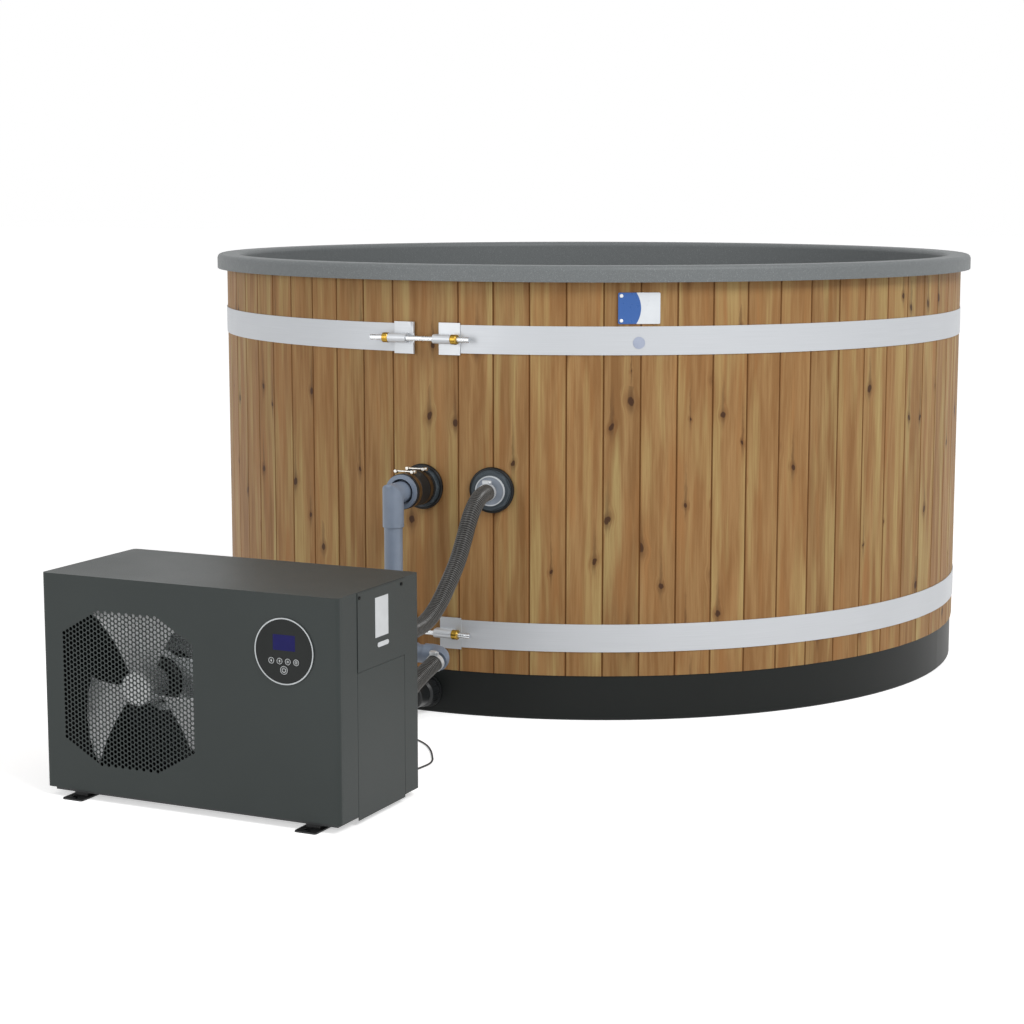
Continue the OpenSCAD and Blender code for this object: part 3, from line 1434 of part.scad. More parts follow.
// Black disc with a pocket for the window and a hole for each key, on a shallow tub
module display_face()
    color("#141516") union() {
        on_dial(0, 0, face_front) difference() {
            union() {
                cylinder(d = dial_hole_d - 4.8, h = face_t, $fn = 96);
                cylinder(d = dial_d - 2 * dial_ring - 0.3, h = -face_front - 1.1, $fn = 96);
            }
            for (k = key_places) translate([k[0], -k[1], -1])
                cylinder(d = k[2] + 2 * key_clear, h = face_t + 2, $fn = 32);
            translate([-window_w / 2 - 0.1, -window_up - window_h / 2 - 0.1, -1])
                cube([window_w + 0.2, window_h + 0.2, window_t + 1.05]);
        }
        on_dial(0, 0, face_front + face_t - 0.5) difference() {
            cylinder(d = dial_hole_d - 4.8, h = tub_v, $fn = 96);
            translate([0, 0, -1]) cylinder(d = dial_hole_d - 9, h = board_v + 1, $fn = 96);
        }
    }

module display_window()
    color("#20245c") on_dial(0, 0, face_front)
        translate([-window_w / 2, -window_up - window_h / 2, 0]) cube([window_w, window_h, window_t]);

// Key: cap through the disc, with a lip behind it that stops it coming out
module key(place)
    on_dial(place[0], place[1], key_front) union() {
        rotate_extrude($fn = 32) polygon([
            [0, 0], [place[2] / 2 - 0.6, 0], [place[2] / 2, 0.6],
            [place[2] / 2, face_front + face_t + flange_gap - key_front],
            [place[2] / 2 + flange_lip, face_front + face_t + flange_gap - key_front],
            [place[2] / 2 + flange_lip, face_front + face_t + flange_gap - key_front + 1],
            [0, face_front + face_t + flange_gap - key_front + 1]]);
        translate([0, 0, 3]) cylinder(d = 4, h = key_stem, $fn = small_fn);
    }

// The stem stops one key travel short of the board
key_stem = face_front + face_t - 0.5 + board_v - key_travel - 0.1 - key_front - 3;

module key_down() color("#2a2c2e") key(key_places[0]);

module key_up() color("#2a2c2e") key(key_places[1]);

module key_mode() color("#2a2c2e") key(key_places[2]);

module key_clock() color("#2a2c2e") key(key_places[3]);

module key_power() color("#2a2c2e") key(key_places[4]);

base_tray();
floor_bearers();
shell();
front_staves();
rear_staves();
wide_stave();
upper_band();
lower_band();
band_lugs();
rod_sleeves();
tension_rods();
rod_nuts();
suction_body();
return_body();
wall_gaskets();
wall_flanges();
rubber_coupling();
coupling_clamps();
coupling_bush();
pvc_elbows();
pvc_pipes();
hose_tail();
return_tail();
return_hose();
supply_hose();
hose_clamps();
drain_line();
drain_strainer();
drain_cap();
name_plate();
plate_screws();
plain_labels();
base_pan();
foot_rails();
cabinet_screws();
front_panel();
top_cover();
side_panels();
service_cover();
corner_posts();
rear_panel();
fan_shroud();
fan();
fan_shaft();
fan_motor();
motor_bracket();
evaporator();
compressor();
heat_exchanger();
display_ring();
display_face();
display_window();
key_down();
key_up();
key_mode();
key_clock();
key_power();
water_unions();
cable_glands();
sensor_lead();
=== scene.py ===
import math

import bmesh
import bpy
import numpy as np
from mathutils import Matrix, Vector


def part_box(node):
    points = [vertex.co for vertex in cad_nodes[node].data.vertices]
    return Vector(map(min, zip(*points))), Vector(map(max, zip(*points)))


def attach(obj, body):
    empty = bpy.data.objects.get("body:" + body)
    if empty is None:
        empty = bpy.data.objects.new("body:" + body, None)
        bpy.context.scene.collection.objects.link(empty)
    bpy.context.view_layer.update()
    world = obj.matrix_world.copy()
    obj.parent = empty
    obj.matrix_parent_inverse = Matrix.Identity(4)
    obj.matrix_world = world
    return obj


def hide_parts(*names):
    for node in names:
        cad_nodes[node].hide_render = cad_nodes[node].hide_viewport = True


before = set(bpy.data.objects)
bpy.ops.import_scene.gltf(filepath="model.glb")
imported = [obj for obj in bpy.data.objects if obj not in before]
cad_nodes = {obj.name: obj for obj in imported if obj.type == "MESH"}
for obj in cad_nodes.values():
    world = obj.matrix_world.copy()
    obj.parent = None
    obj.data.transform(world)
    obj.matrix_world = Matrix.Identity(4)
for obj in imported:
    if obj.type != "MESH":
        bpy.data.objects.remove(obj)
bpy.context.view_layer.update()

# ---------------------------------------------------------------------------
# Viewpoint. The tub is seen from the front and a little from the right, from
# just above its rim, with the heat pump standing in front of its left half.
# ---------------------------------------------------------------------------
scene = bpy.context.scene
scene.view_settings.view_transform = "Standard"

viewer = bpy.data.objects.new("viewer", bpy.data.cameras.new("viewer"))
viewer.data.sensor_width = 36.0
viewer.data.lens = 79.25
viewer.data.clip_start, viewer.data.clip_end = 0.1, 200.0
view_right = Vector((0.90355, 0.42849, 0.0))
view_up = Vector((-0.06267, 0.13215, 0.98925))
view_back = Vector((0.42388, -0.89383, 0.14626))
viewer.matrix_world = Matrix.Translation((2.2832, -5.2882, 1.1794)) @ Matrix(
    (view_right, view_up, view_back)
).transposed().to_4x4()
scene.collection.objects.link(viewer)
scene.camera = viewer

# ---------------------------------------------------------------------------
# Water hoses: two ribbed PVC hoses with a stiff spiral, cut to length on site.
# One runs from the return tail in the wall, one from the outlet elbow, and
# each is pushed on the barbed tail of a union in the heat pump's back.
# ---------------------------------------------------------------------------
HOSE_D = 0.036
HOSE_BORE = 0.0285
RIB_DEPTH = 0.0022
RIB_PITCH = 0.0056
HOSE_SIDES = 28
RINGS_PER_RIB = 6
PLAIN_CUFF = 0.012
BORE_SPACING = 0.02
STEPS_PER_SPAN = 24

RETURN_ROUTE = [
    (162.5, -936, 508), (165.5, -953, 508), (168.5, -971, 507.7), (174, -1002, 504.3),
    (179, -1031, 495.5), (183, -1058, 480.5), (186, -1081, 460.5), (189.5, -1108, 431),
    (195, -1150, 391), (200, -1200, 354), (205, -1260, 316), (208.5, -1315, 294.5),
    (210, -1366, 288), (211, -1414, 289.5), (211, -1462, 292), (211, -1500, 292),
]
SUPPLY_ROUTE = [
    (111, -1083.8, 157.6), (111, -1102, 153.4), (111, -1120.5, 149.1), (111, -1143, 143.3),
    (111.5, -1168, 136), (114.5, -1203, 127), (124, -1241, 119.5), (139.5, -1278, 114.5),
    (161, -1315, 112.5), (182.5, -1352, 112), (198.5, -1389, 112), (208, -1426, 112),
    (211, -1462, 112), (211, -1500, 112),
]


def smooth_line(route_mm, spacing):
    """Points at even spacing along a smooth curve through a route given in millimetres."""
    p = np.array(route_mm, float) / 1000
    dense = []
    for i in range(len(p) - 1):
        a, b, c, d = p[max(i - 1, 0)], p[i], p[i + 1], p[min(i + 2, len(p) - 1)]
        for t in np.arange(0, 1, 1 / STEPS_PER_SPAN):
            dense.append(0.5 * (2 * b + (c - a) * t + (2 * a - 5 * b + 4 * c - d) * t**2
                                + (3 * b - a - 3 * c + d) * t**3))
    dense = np.array(dense + [p[-1]])
    run = np.concatenate([[0], np.cumsum(np.linalg.norm(np.diff(dense, axis=0), axis=1))])
    count = max(8, int(round(run[-1] / spacing)))
    at = np.linspace(0, run[-1], count + 1)
    return np.stack([np.interp(at, run, dense[:, k]) for k in range(3)], axis=1), at


def frames_along(line):
    """Side and up directions square to a line, one pair for each point."""
    ahead = np.gradient(line, axis=0)
    ahead /= np.linalg.norm(ahead, axis=1)[:, None]
    side = np.cross(ahead, (0, 0, 1))
    side /= np.linalg.norm(side, axis=1)[:, None]
    return side, np.cross(side, ahead)


def mesh_piece(name, verts, faces, smooth=True):
    """A new mesh object with its faces turned outwards."""
    mesh = bpy.data.meshes.new(name)
    mesh.from_pydata([tuple(v) for v in verts], [], [tuple(f) for f in faces])
    work = bmesh.new()
    work.from_mesh(mesh)
    bmesh.ops.recalc_face_normals(work, faces=work.faces)
    work.to_mesh(mesh)
    work.free()
    mesh.polygons.foreach_set("use_smooth", [smooth] * len(mesh.polygons))
    mesh.update()
    made = bpy.data.objects.new(name, mesh)
    scene.collection.objects.link(made)
    return made


def ring_quads(first, second, sides):
    return [(first + k, first + (k + 1) % sides, second + (k + 1) % sides, second + k)
            for k in range(sides)]


def spiral_hose(name, route_mm):
    """Hose wall with one stiff rib winding round it, a plain cuff at each end and a bore."""
    line, at = smooth_line(route_mm, RIB_PITCH / RINGS_PER_RIB)
    side, up = frames_along(line)
    total = at[-1]
    turn = 2 * math.pi * np.arange(HOSE_SIDES) / HOSE_SIDES
    verts, crest = [], []
    for i in range(len(line)):
        fade = min(1.0, at[i] / PLAIN_CUFF, (total - at[i]) / PLAIN_CUFF)
        wave = 0.5 + 0.5 * np.cos(2 * math.pi * at[i] / RIB_PITCH - turn)
        lift = wave**1.6
        r = HOSE_D / 2 - RIB_DEPTH * fade * (1 - lift)
        verts.extend(line[i] + r[k] * (math.cos(turn[k]) * side[i] + math.sin(turn[k]) * up[i])
                     for k in range(HOSE_SIDES))
        crest.extend(1 - fade * (1 - lift))
    faces = []
    for i in range(len(line) - 1):
        faces += ring_quads(i * HOSE_SIDES, (i + 1) * HOSE_SIDES, HOSE_SIDES)
    bore_line, _ = smooth_line(route_mm, BORE_SPACING)
    bore_line[0], bore_line[-1] = line[0], line[-1]
    b_side, b_up = frames_along(bore_line)
    start = len(verts)
    for i in range(len(bore_line)):
        verts.extend(bore_line[i] + HOSE_BORE / 2
                     * (math.cos(a) * b_side[i] + math.sin(a) * b_up[i]) for a in turn)
        crest.extend([0.0] * HOSE_SIDES)
    for i in range(len(bore_line) - 1):
        faces += ring_quads(start + (i + 1) * HOSE_SIDES, start + i * HOSE_SIDES, HOSE_SIDES)
    last_out, last_in = (len(line) - 1) * HOSE_SIDES, len(verts) - HOSE_SIDES
    faces += ring_quads(start, 0, HOSE_SIDES) + ring_quads(last_out, last_in, HOSE_SIDES)
    hose = mesh_piece(name, verts, faces)
    hose.data.attributes.new("rib_crest", "FLOAT", "POINT").data.foreach_set("value", crest)
    return hose, line, total


def paint(r, g, b):
    """A colour written as 0 to 255 on screen, as the shader wants it."""
    return tuple((c / 255 / 12.92) if c / 255 <= 0.04045 else ((c / 255 + 0.055) / 1.055) ** 2.4
                 for c in (r, g, b)) + (1.0,)


def put(tree, socket, value):
    """Joins a socket to another, or sets the number or colour on it."""
    if isinstance(value, bpy.types.NodeSocket):
        tree.links.new(value, socket)
    elif value is not None:
        socket.default_value = value


def add_node(tree, kind, sockets=None, **settings):
    made = tree.nodes.new(kind)
    for name, value in settings.items():
        setattr(made, name, value)
    for name, value in (sockets or {}).items():
        put(tree, made.inputs[name], value)
    return made


def calc(tree, operation, a, b=None, c=None, clamp=False):
    made = tree.nodes.new("ShaderNodeMath")
    made.operation, made.use_clamp = operation, clamp
    for socket, value in zip(made.inputs, (a, b, c)):
        put(tree, socket, value)
    return made.outputs[0]


def blend_colours(tree, share, a, b, mode="MIX"):
    made = add_node(tree, "ShaderNodeMix", data_type="RGBA", blend_type=mode, clamp_factor=True)
    put(tree, made.inputs[0], share)
    put(tree, made.inputs[6], a)
    put(tree, made.inputs[7], b)
    return made.outputs[2]


def between(tree, value, low, high, to_low=0.0, to_high=1.0, smooth=False):
    """Turns low..high into to_low..to_high and holds it there outside."""
    return add_node(tree, "ShaderNodeMapRange",
                    {0: value, 1: low, 2: high, 3: to_low, 4: to_high},
                    interpolation_type="SMOOTHSTEP" if smooth else "LINEAR",
                    clamp=True).outputs[0]


def new_group(name, takes, gives):
    """An effect for several materials. takes is (name, kind, value), gives is (name, kind)."""
    tree = bpy.data.node_groups.new(name, "ShaderNodeTree")
    for label, kind, value in takes:
        socket = tree.interface.new_socket(label, in_out="INPUT", socket_type="NodeSocket" + kind)
        if value is not None:
            socket.default_value = value
    for label, kind in gives:
        tree.interface.new_socket(label, in_out="OUTPUT", socket_type="NodeSocket" + kind)
    return tree, add_node(tree, "NodeGroupInput").outputs, add_node(tree, "NodeGroupOutput").inputs


def use_group(tree, group, sockets):
    made = tree.nodes.new("ShaderNodeGroup")
    made.node_tree = group
    for name, value in sockets.items():
        put(tree, made.inputs[name], value)
    return made.outputs


def new_finish(name, colour, roughness, metallic=0.0, **plain):
    """A material with its shader: (material, tree, shader)."""
    made = bpy.data.materials.new(name)
    made.use_nodes = True
    shader = made.node_tree.nodes["Principled BSDF"]
    shader.inputs["Base Color"].default_value = colour
    shader.inputs["Roughness"].default_value = roughness
    shader.inputs["Metallic"].default_value = metallic
    for label, value in plain.items():
        shader.inputs[label.replace("_", " ").title().replace("Ior", "IOR")].default_value = value
    return made, made.node_tree, shader


def where(tree):
    """Place on the object in metres, the same whatever pose it is in."""
    return add_node(tree, "ShaderNodeTexCoord").outputs["Object"]


def place_axes(tree):
    """X, Y and Z of the place on the object, as three sockets."""
    return add_node(tree, "ShaderNodeSeparateXYZ", {0: where(tree)}).outputs


def give_bump(tree, shader, height, distance, strength=1.0):
    bump = add_node(tree, "ShaderNodeBump", {"Height": height, "Distance": distance,
                                             "Strength": strength})
    put(tree, shader.inputs["Normal"], bump.outputs[0])


# Mottle: slow, uneven change over a surface, from 0 to 1 with its middle at 0.5
mottle, m_in, m_out = new_group(
    "Mottle", [("Place", "Vector", None), ("Scale", "Float", 8.0), ("Contrast", "Float", 1.0)],
    [("Value", "Float")])
m_noise = add_node(mottle, "ShaderNodeTexNoise", {"Vector": m_in["Place"], "Scale": m_in["Scale"],
                                                  "Detail": 4.0, "Roughness": 0.55})
m_spread = calc(mottle, "MULTIPLY", calc(mottle, "SUBTRACT", m_noise.outputs["Fac"], 0.5),
                calc(mottle, "MULTIPLY", m_in["Contrast"], 1.8))
put(mottle, m_out["Value"], calc(mottle, "ADD", m_spread, 0.5, clamp=True))


def mottled(tree, scale, contrast=1.0):
    return use_group(tree, mottle, {"Place": where(tree), "Scale": scale,
                                    "Contrast": contrast})["Value"]


hose_finish, t, s = new_finish("ribbed hose", paint(60, 58, 55), 0.35)
rib = add_node(t, "ShaderNodeAttribute", attribute_name="rib_crest").outputs["Fac"]
# Painted highlight on the rib crests and painted shade in the grooves between them: the crests are
# coloured light grey and the grooves near black.
rib_glint_and_groove_shade = blend_colours(t, between(t, rib, 0.5, 0.9), paint(7, 7, 7), paint(96, 94, 90))
put(t, s.inputs["Base Color"], blend_colours(t, calc(t, "MULTIPLY", mottled(t, 40.0), 0.3),
                                             rib_glint_and_groove_shade, paint(38, 35, 32)))
put(t, s.inputs["Roughness"], between(t, mottled(t, 90.0), 0.0, 1.0, 0.24, 0.36))
s.inputs["Specular IOR Level"].default_value = 0.4

for hose_name, route in (("return_hose", RETURN_ROUTE), ("supply_hose", SUPPLY_ROUTE)):
    hose, centre_line, hose_run = spiral_hose(hose_name + "_ribbed", route)
    hose.data.materials.append(hose_finish)
    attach(hose, "tub")
    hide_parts(hose_name)

# ---------------------------------------------------------------------------
# Sensor lead: thin round PVC lead from a gland in the heat pump's back, down
# to the floor and up to a boss on the low pipe, where its probe sits.
# ---------------------------------------------------------------------------
LEAD_D = 0.004
LEAD_ROUTE = [
    (200, -1520, 60), (200, -1508, 60), (200, -1496, 57), (201, -1483, 47),
    (203, -1469, 32), (205, -1454, 17), (207, -1438, 7), (210, -1420, 3),
    (214, -1396, 2.3), (218, -1366, 2.3), (220, -1331, 2.3), (213, -1303, 2.3),
    (200, -1278, 2.3), (178, -1241, 2.3), (154, -1208, 2.3), (135, -1188, 2.3),
    (114, -1171, 2.3), (92, -1158, 2.3), (72, -1150, 3), (56, -1144, 9),
    (43, -1140, 22), (34, -1137, 43), (28, -1134, 69), (25, -1130, 96),
    (24, -1126, 121), (24, -1120, 144), (24, -1112, 159), (24, -1102, 164), (24, -1090.5, 164),
]

LEAD_SIDES = 12
LEAD_SPACING = 0.003
lead_line, lead_at = smooth_line(LEAD_ROUTE, LEAD_SPACING)
lead_side, lead_up = frames_along(lead_line)
lead_turn = 2 * math.pi * np.arange(LEAD_SIDES) / LEAD_SIDES
lead_verts, lead_faces = [], []
for i, centre in enumerate(lead_line):
    lead_verts.extend(centre + LEAD_D / 2 * (math.cos(a) * lead_side[i] + math.sin(a) * lead_up[i])
                      for a in lead_turn)
    if i:
        lead_faces += ring_quads((i - 1) * LEAD_SIDES, i * LEAD_SIDES, LEAD_SIDES)
lead_faces += [tuple(range(LEAD_SIDES)),
               tuple(range(len(lead_verts) - LEAD_SIDES, len(lead_verts)))]
lead = mesh_piece("sensor_lead_round", lead_verts, lead_faces)
lead_finish, t, s = new_finish("lead sheath", paint(50, 50, 52), 0.45)
put(t, s.inputs["Base Color"], blend_colours(t, mottled(t, 60.0), paint(42, 42, 44),
                                             paint(62, 62, 64)))
lead.data.materials.append(lead_finish)
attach(lead, "tub")
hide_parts("sensor_lead")

# ---------------------------------------------------------------------------
# Floor and light: a plain white floor that keeps a faint shadow, even light from
# all round, a large soft lamp from above on the right and one low in front.
# ---------------------------------------------------------------------------
FLOOR_HALF = 40
FLOOR_GLOW = 0.5
ROUND_LIGHT = 0.56
KEY_WATTS = 270
FILL_WATTS = 105

floor = mesh_piece("studio_floor", [(x * FLOOR_HALF, y * FLOOR_HALF, 0)
                                    for x, y in ((-1, -1), (1, -1), (1, 1), (-1, 1))],
                   [(0, 1, 2, 3)], smooth=False)
floor_finish, t, s = new_finish("studio floor", paint(246, 246, 246), 0.9)
s.inputs["Specular IOR Level"].default_value = 0.1
s.inputs["Emission Color"].default_value = (1.0, 1.0, 1.0, 1.0)


def white_behind(tree):
    """1 for the rays that show the background itself, 0 for those that light the object."""
    rays = add_node(tree, "ShaderNodeLightPath").outputs
    return calc(tree, "MAXIMUM", rays["Is Camera Ray"],
                calc(tree, "MAXIMUM", rays["Is Glossy Ray"], rays["Is Transmission Ray"]))


put(t, s.inputs["Emission Strength"], calc(t, "MULTIPLY", white_behind(t), FLOOR_GLOW))
floor.data.materials.append(floor_finish)

world = bpy.data.worlds.new("studio")
scene.world = world
world.use_nodes = True
t = world.node_tree
surround = t.nodes["Background"]
put(t, surround.inputs["Strength"], between(t, white_behind(t), 0.0, 1.0, ROUND_LIGHT, 1.0))
surround.inputs["Color"].default_value = (1.0, 1.0, 1.0, 1.0)


def soft_lamp(name, place, aim, size, watts):
    lamp = bpy.data.objects.new(name, bpy.data.lights.new(name, "AREA"))
    lamp.data.shape, lamp.data.size, lamp.data.energy = "DISK", size, watts
    lamp.location = place
    lamp.rotation_mode = "QUATERNION"
    lamp.rotation_quaternion = (Vector(aim) - Vector(place)).to_track_quat("-Z", "Y")
    scene.collection.objects.link(lamp)


soft_lamp("key lamp", (5.0, -3.2, 5.6), (0.3, -0.6, 0.4), 3.2, KEY_WATTS)
soft_lamp("fill lamp", (-2.2, -7.2, 2.0), (0.0, -1.0, 0.4), 3.6, FILL_WATTS)

# ---------------------------------------------------------------------------
# Base tray: a black tray moulded in one piece, whose skirt shows below the
# staves. Four planed pine bearers lie on its floor and carry the shell.
# ---------------------------------------------------------------------------


def wear(material, *names):
    """Puts a finish on pieces of the frame."""
    for name in names:
        cad_nodes[name].material_slots[0].material = material


# Moulded grain: the fine pebbled surface that a mould leaves on plastic and powder paint
pebbles, p_in, p_out = new_group(
    "Pebbles", [("Place", "Vector", None), ("Scale", "Float", 900.0)],
    [("Height", "Float")])
p_noise = add_node(pebbles, "ShaderNodeTexNoise", {"Vector": p_in["Place"],
                                                   "Scale": p_in["Scale"], "Detail": 2.0})
put(pebbles, p_out["Height"], between(pebbles, p_noise.outputs["Fac"], 0.3, 0.7))


def moulded(name, dark, light, roughness, grain=900.0, depth=0.00006, patches=12.0, **plain):
    """Plastic, rubber or powder paint: two near tones in slow patches over a pebbled surface."""
    made, tree, shader = new_finish(name, light, roughness, **plain)
    patch = mottled(tree, patches)
    put(tree, shader.inputs["Base Color"], blend_colours(tree, patch, dark, light))
    put(tree, shader.inputs["Roughness"], between(tree, patch, 0.0, 1.0, roughness - 0.05,
                                                  roughness + 0.07))
    height = use_group(tree, pebbles, {"Place": where(tree), "Scale": grain})["Height"]
    give_bump(tree, shader, height, depth)
    return made


wear(moulded("base tray plastic", paint(17, 20, 19), paint(24, 27, 26), 0.45, grain=500.0,
             patches=3.0, specular_ior_level=0.2), "base_tray")

# Board grain: straight pine grain with slow tone streaks, sapwood, knots and the
# dark tear above a knot. Across and Along are in metres on the board's own face.
board, b_in, b_out = new_group(
    "Board grain",
    [("Across", "Float", 0.0), ("Along", "Float", 0.0), ("Number", "Float", 0.0),
     ("Knots", "Float", 0.24)],
    [("Color", "Color"), ("Height", "Float"), ("Roughness", "Float")])
chance = add_node(board, "ShaderNodeTexWhiteNoise", {"W": b_in["Number"]},
                  noise_dimensions="1D").outputs["Color"]
own = add_node(board, "ShaderNodeSeparateColor", {"Color": chance}).outputs
shift_x = calc(board, "MULTIPLY", own[0], 437.0)
shift_z = calc(board, "MULTIPLY", own[1], 311.0)

# Knots: one place in each cell of the face, most of them left clear
KNOT_CELL_X, KNOT_CELL_Z = 0.052, 0.23
knot_at = add_node(board, "ShaderNodeCombineXYZ", {
    "X": calc(board, "ADD", calc(board, "DIVIDE", b_in["Across"], KNOT_CELL_X), shift_x),
    "Y": calc(board, "ADD", calc(board, "DIVIDE", b_in["Along"], KNOT_CELL_Z), shift_z)})
knot_cells = add_node(board, "ShaderNodeTexVoronoi", {"Vector": knot_at.outputs[0], "Scale": 1.0,
                                                      "Randomness": 0.85},
                      voronoi_dimensions="2D")
to_knot = add_node(board, "ShaderNodeVectorMath", {0: knot_at.outputs[0],
                                                   1: knot_cells.outputs["Position"]},
                   operation="SUBTRACT")
away = add_node(board, "ShaderNodeSeparateXYZ", {0: to_knot.outputs[0]}).outputs
knot_luck = add_node(board, "ShaderNodeSeparateColor",
                     {"Color": knot_cells.outputs["Color"]}).outputs
has_knot = calc(board, "LESS_THAN", knot_luck[0], b_in["Knots"])
knot_size = between(board, knot_luck[1], 0.0, 1.0, 0.0022, 0.0088)
ragged = add_node(board, "ShaderNodeTexNoise", {"Vector": knot_at.outputs[0], "Scale": 9.0,
                                                "Detail": 2.0}).outputs["Fac"]
off_x = calc(board, "ADD", calc(board, "MULTIPLY", away[0], KNOT_CELL_X),
             calc(board, "MULTIPLY", calc(board, "SUBTRACT", ragged, 0.5), 0.009))
lean = between(board, knot_luck[2], 0.0, 1.0, -0.7, 0.7)
off_z = calc(board, "MULTIPLY_ADD", off_x, lean, calc(board, "MULTIPLY", away[1], KNOT_CELL_Z))
flat_z = calc(board, "MULTIPLY", off_z, 0.75)
reach = calc(board, "SQRT", calc(board, "ADD", calc(board, "MULTIPLY", off_x, off_x),
                                 calc(board, "MULTIPLY", flat_z, flat_z)))
near_knot = calc(board, "DIVIDE", reach, knot_size)
knot_core = calc(board, "MULTIPLY", has_knot, between(board, near_knot, 1.1, 0.75, smooth=True))
knot_ring = calc(board, "MULTIPLY", has_knot, between(board, near_knot, 2.8, 1.0, smooth=True))
tear_z = between(board, off_z, 0.13, 0.0, smooth=True)
below = between(board, off_z, -0.045, 0.0, smooth=True)
tear_w = calc(board, "DIVIDE", calc(board, "ABSOLUTE", off_x),
              calc(board, "MULTIPLY", knot_size, between(board, off_z, 0.0, 0.1, 1.0, 0.45)))
knot_tear = calc(board, "MULTIPLY", calc(board, "MULTIPLY", has_knot, tear_z),
                 calc(board, "MULTIPLY", below, between(board, tear_w, 1.3, 0.1, smooth=True)))

# The grain runs round a knot
push = calc(board, "MULTIPLY", between(board, near_knot, 4.0, 0.6, smooth=True),
            calc(board, "MULTIPLY", has_knot, calc(board, "MULTIPLY", off_x, 0.75)))
drift = add_node(board, "ShaderNodeTexNoise", {
    "Vector": add_node(board, "ShaderNodeCombineXYZ", {
        "X": shift_x, "Y": calc(board, "MULTIPLY", b_in["Along"], 2.6), "Z": shift_z}).outputs[0],
    "Scale": 1.0, "Detail": 2.0}).outputs["Fac"]
grain_x = calc(board, "ADD", calc(board, "SUBTRACT", b_in["Across"], push),
               calc(board, "MULTIPLY", drift, 0.012))


def grain_noise(per_m_across, per_m_along, detail, roughness, seed):
    at = add_node(board, "ShaderNodeCombineXYZ", {
        "X": calc(board, "ADD", calc(board, "MULTIPLY", grain_x, per_m_across), shift_x),
        "Y": calc(board, "MULTIPLY", b_in["Along"], per_m_along),
        "Z": calc(board, "ADD", shift_z, seed)})
    return add_node(board, "ShaderNodeTexNoise", {"Vector": at.outputs[0], "Scale": 1.0,
                                                  "Detail": detail, "Roughness": roughness,
                                                  }).outputs["Fac"]


broad = grain_noise(52.0, 3.4, 3.0, 0.6, 3.0)
lines = grain_noise(240.0, 6.0, 3.0, 0.65, 17.0)
fibres = grain_noise(1100.0, 12.0, 2.0, 0.6, 29.0)
sap = grain_noise(30.0, 2.2, 2.0, 0.5, 41.0)
red = grain_noise(34.0, 2.8, 2.0, 0.55, 57.0)

PINE_MIDDLE = paint(156, 123, 80)
PINE_DARK = paint(122, 84, 46)
PINE_RED = paint(151, 108, 64)
PINE_SAP = paint(172, 151, 100)
KNOT_DARK = paint(58, 34, 18)
KNOT_EDGE = paint(104, 68, 36)
tone = blend_colours(board, between(board, broad, 0.62, 0.36, 0.0, 0.78), PINE_MIDDLE, PINE_DARK)
tone = blend_colours(board, between(board, red, 0.52, 0.72, 0.0, 0.8), tone, PINE_RED)
tone = blend_colours(board, between(board, sap, 0.5, 0.68, 0.0, 0.85), tone, PINE_SAP)
tone = blend_colours(board, between(board, lines, 0.34, 0.6, 0.42, 0.0), tone, PINE_DARK)
tone = blend_colours(board, between(board, own[2], 0.0, 1.0, 0.0, 0.22), tone, PINE_RED)
tone = blend_colours(board, calc(board, "MULTIPLY", knot_ring, 0.42), tone, KNOT_EDGE)
tone = blend_colours(board, calc(board, "MULTIPLY", knot_tear, 0.45), tone, KNOT_DARK)
tone = blend_colours(board, calc(board, "MULTIPLY", knot_core, 0.9), tone, KNOT_DARK)
level = between(board, own[1], 0.0, 1.0, 0.94, 1.06)
lit = add_node(board, "ShaderNodeVectorMath", {0: tone}, operation="SCALE")
put(board, lit.inputs["Scale"], level)
put(board, b_out["Color"], lit.outputs[0])
put(board, b_out["Height"], calc(board, "ADD", calc(board, "MULTIPLY", lines, 0.6),
                                 calc(board, "MULTIPLY", fibres, 0.4)))
put(board, b_out["Roughness"], between(board, lines, 0.3, 0.7, 0.62, 0.5))

bearer_finish, t, s = new_finish("bearer pine", paint(170, 138, 96), 0.7)
axes = place_axes(t)
plank = use_group(t, board, {
    "Across": axes[0], "Along": axes[1],
    "Number": calc(t, "FLOOR", calc(t, "MULTIPLY", axes[0], 3.846)), "Knots": 0.2})
put(t, s.inputs["Base Color"], plank["Color"])
put(t, s.inputs["Roughness"], plank["Roughness"])
give_bump(t, s, plank["Height"], 0.0004, 0.5)
wear(bearer_finish, "floor_bearers")

# ---------------------------------------------------------------------------
# Shell: seat, footwell and rim moulded in one piece of grey polyethylene with
# a granite fleck. The rim rolls over the staves and hangs down outside them.
# ---------------------------------------------------------------------------
fleck, f_in, f_out = new_group(
    "Granite fleck",
    [("Place", "Vector", None), ("Ground", "Color", paint(102, 106, 107)),
     ("Light", "Color", paint(136, 140, 141)), ("Dark", "Color", paint(66, 70, 72))],
    [("Color", "Color"), ("Height", "Float")])
coarse = add_node(fleck, "ShaderNodeTexNoise", {"Vector": f_in["Place"], "Scale": 420.0,
                                                "Detail": 3.0, "Roughness": 0.7}).outputs["Fac"]
small = add_node(fleck, "ShaderNodeTexNoise", {"Vector": f_in["Place"], "Scale": 640.0,
                                               "Detail": 3.0, "Roughness": 0.7,
                                               "Distortion": 0.4}).outputs["Fac"]
fleck_colour = blend_colours(fleck, between(fleck, coarse, 0.54, 0.68, 0.0, 0.75),
                             f_in["Ground"], f_in["Light"])
fleck_colour = blend_colours(fleck, between(fleck, small, 0.56, 0.7, 0.0, 0.7), fleck_colour,
                             f_in["Dark"])
put(fleck, f_out["Color"], fleck_colour)
put(fleck, f_out["Height"], coarse)

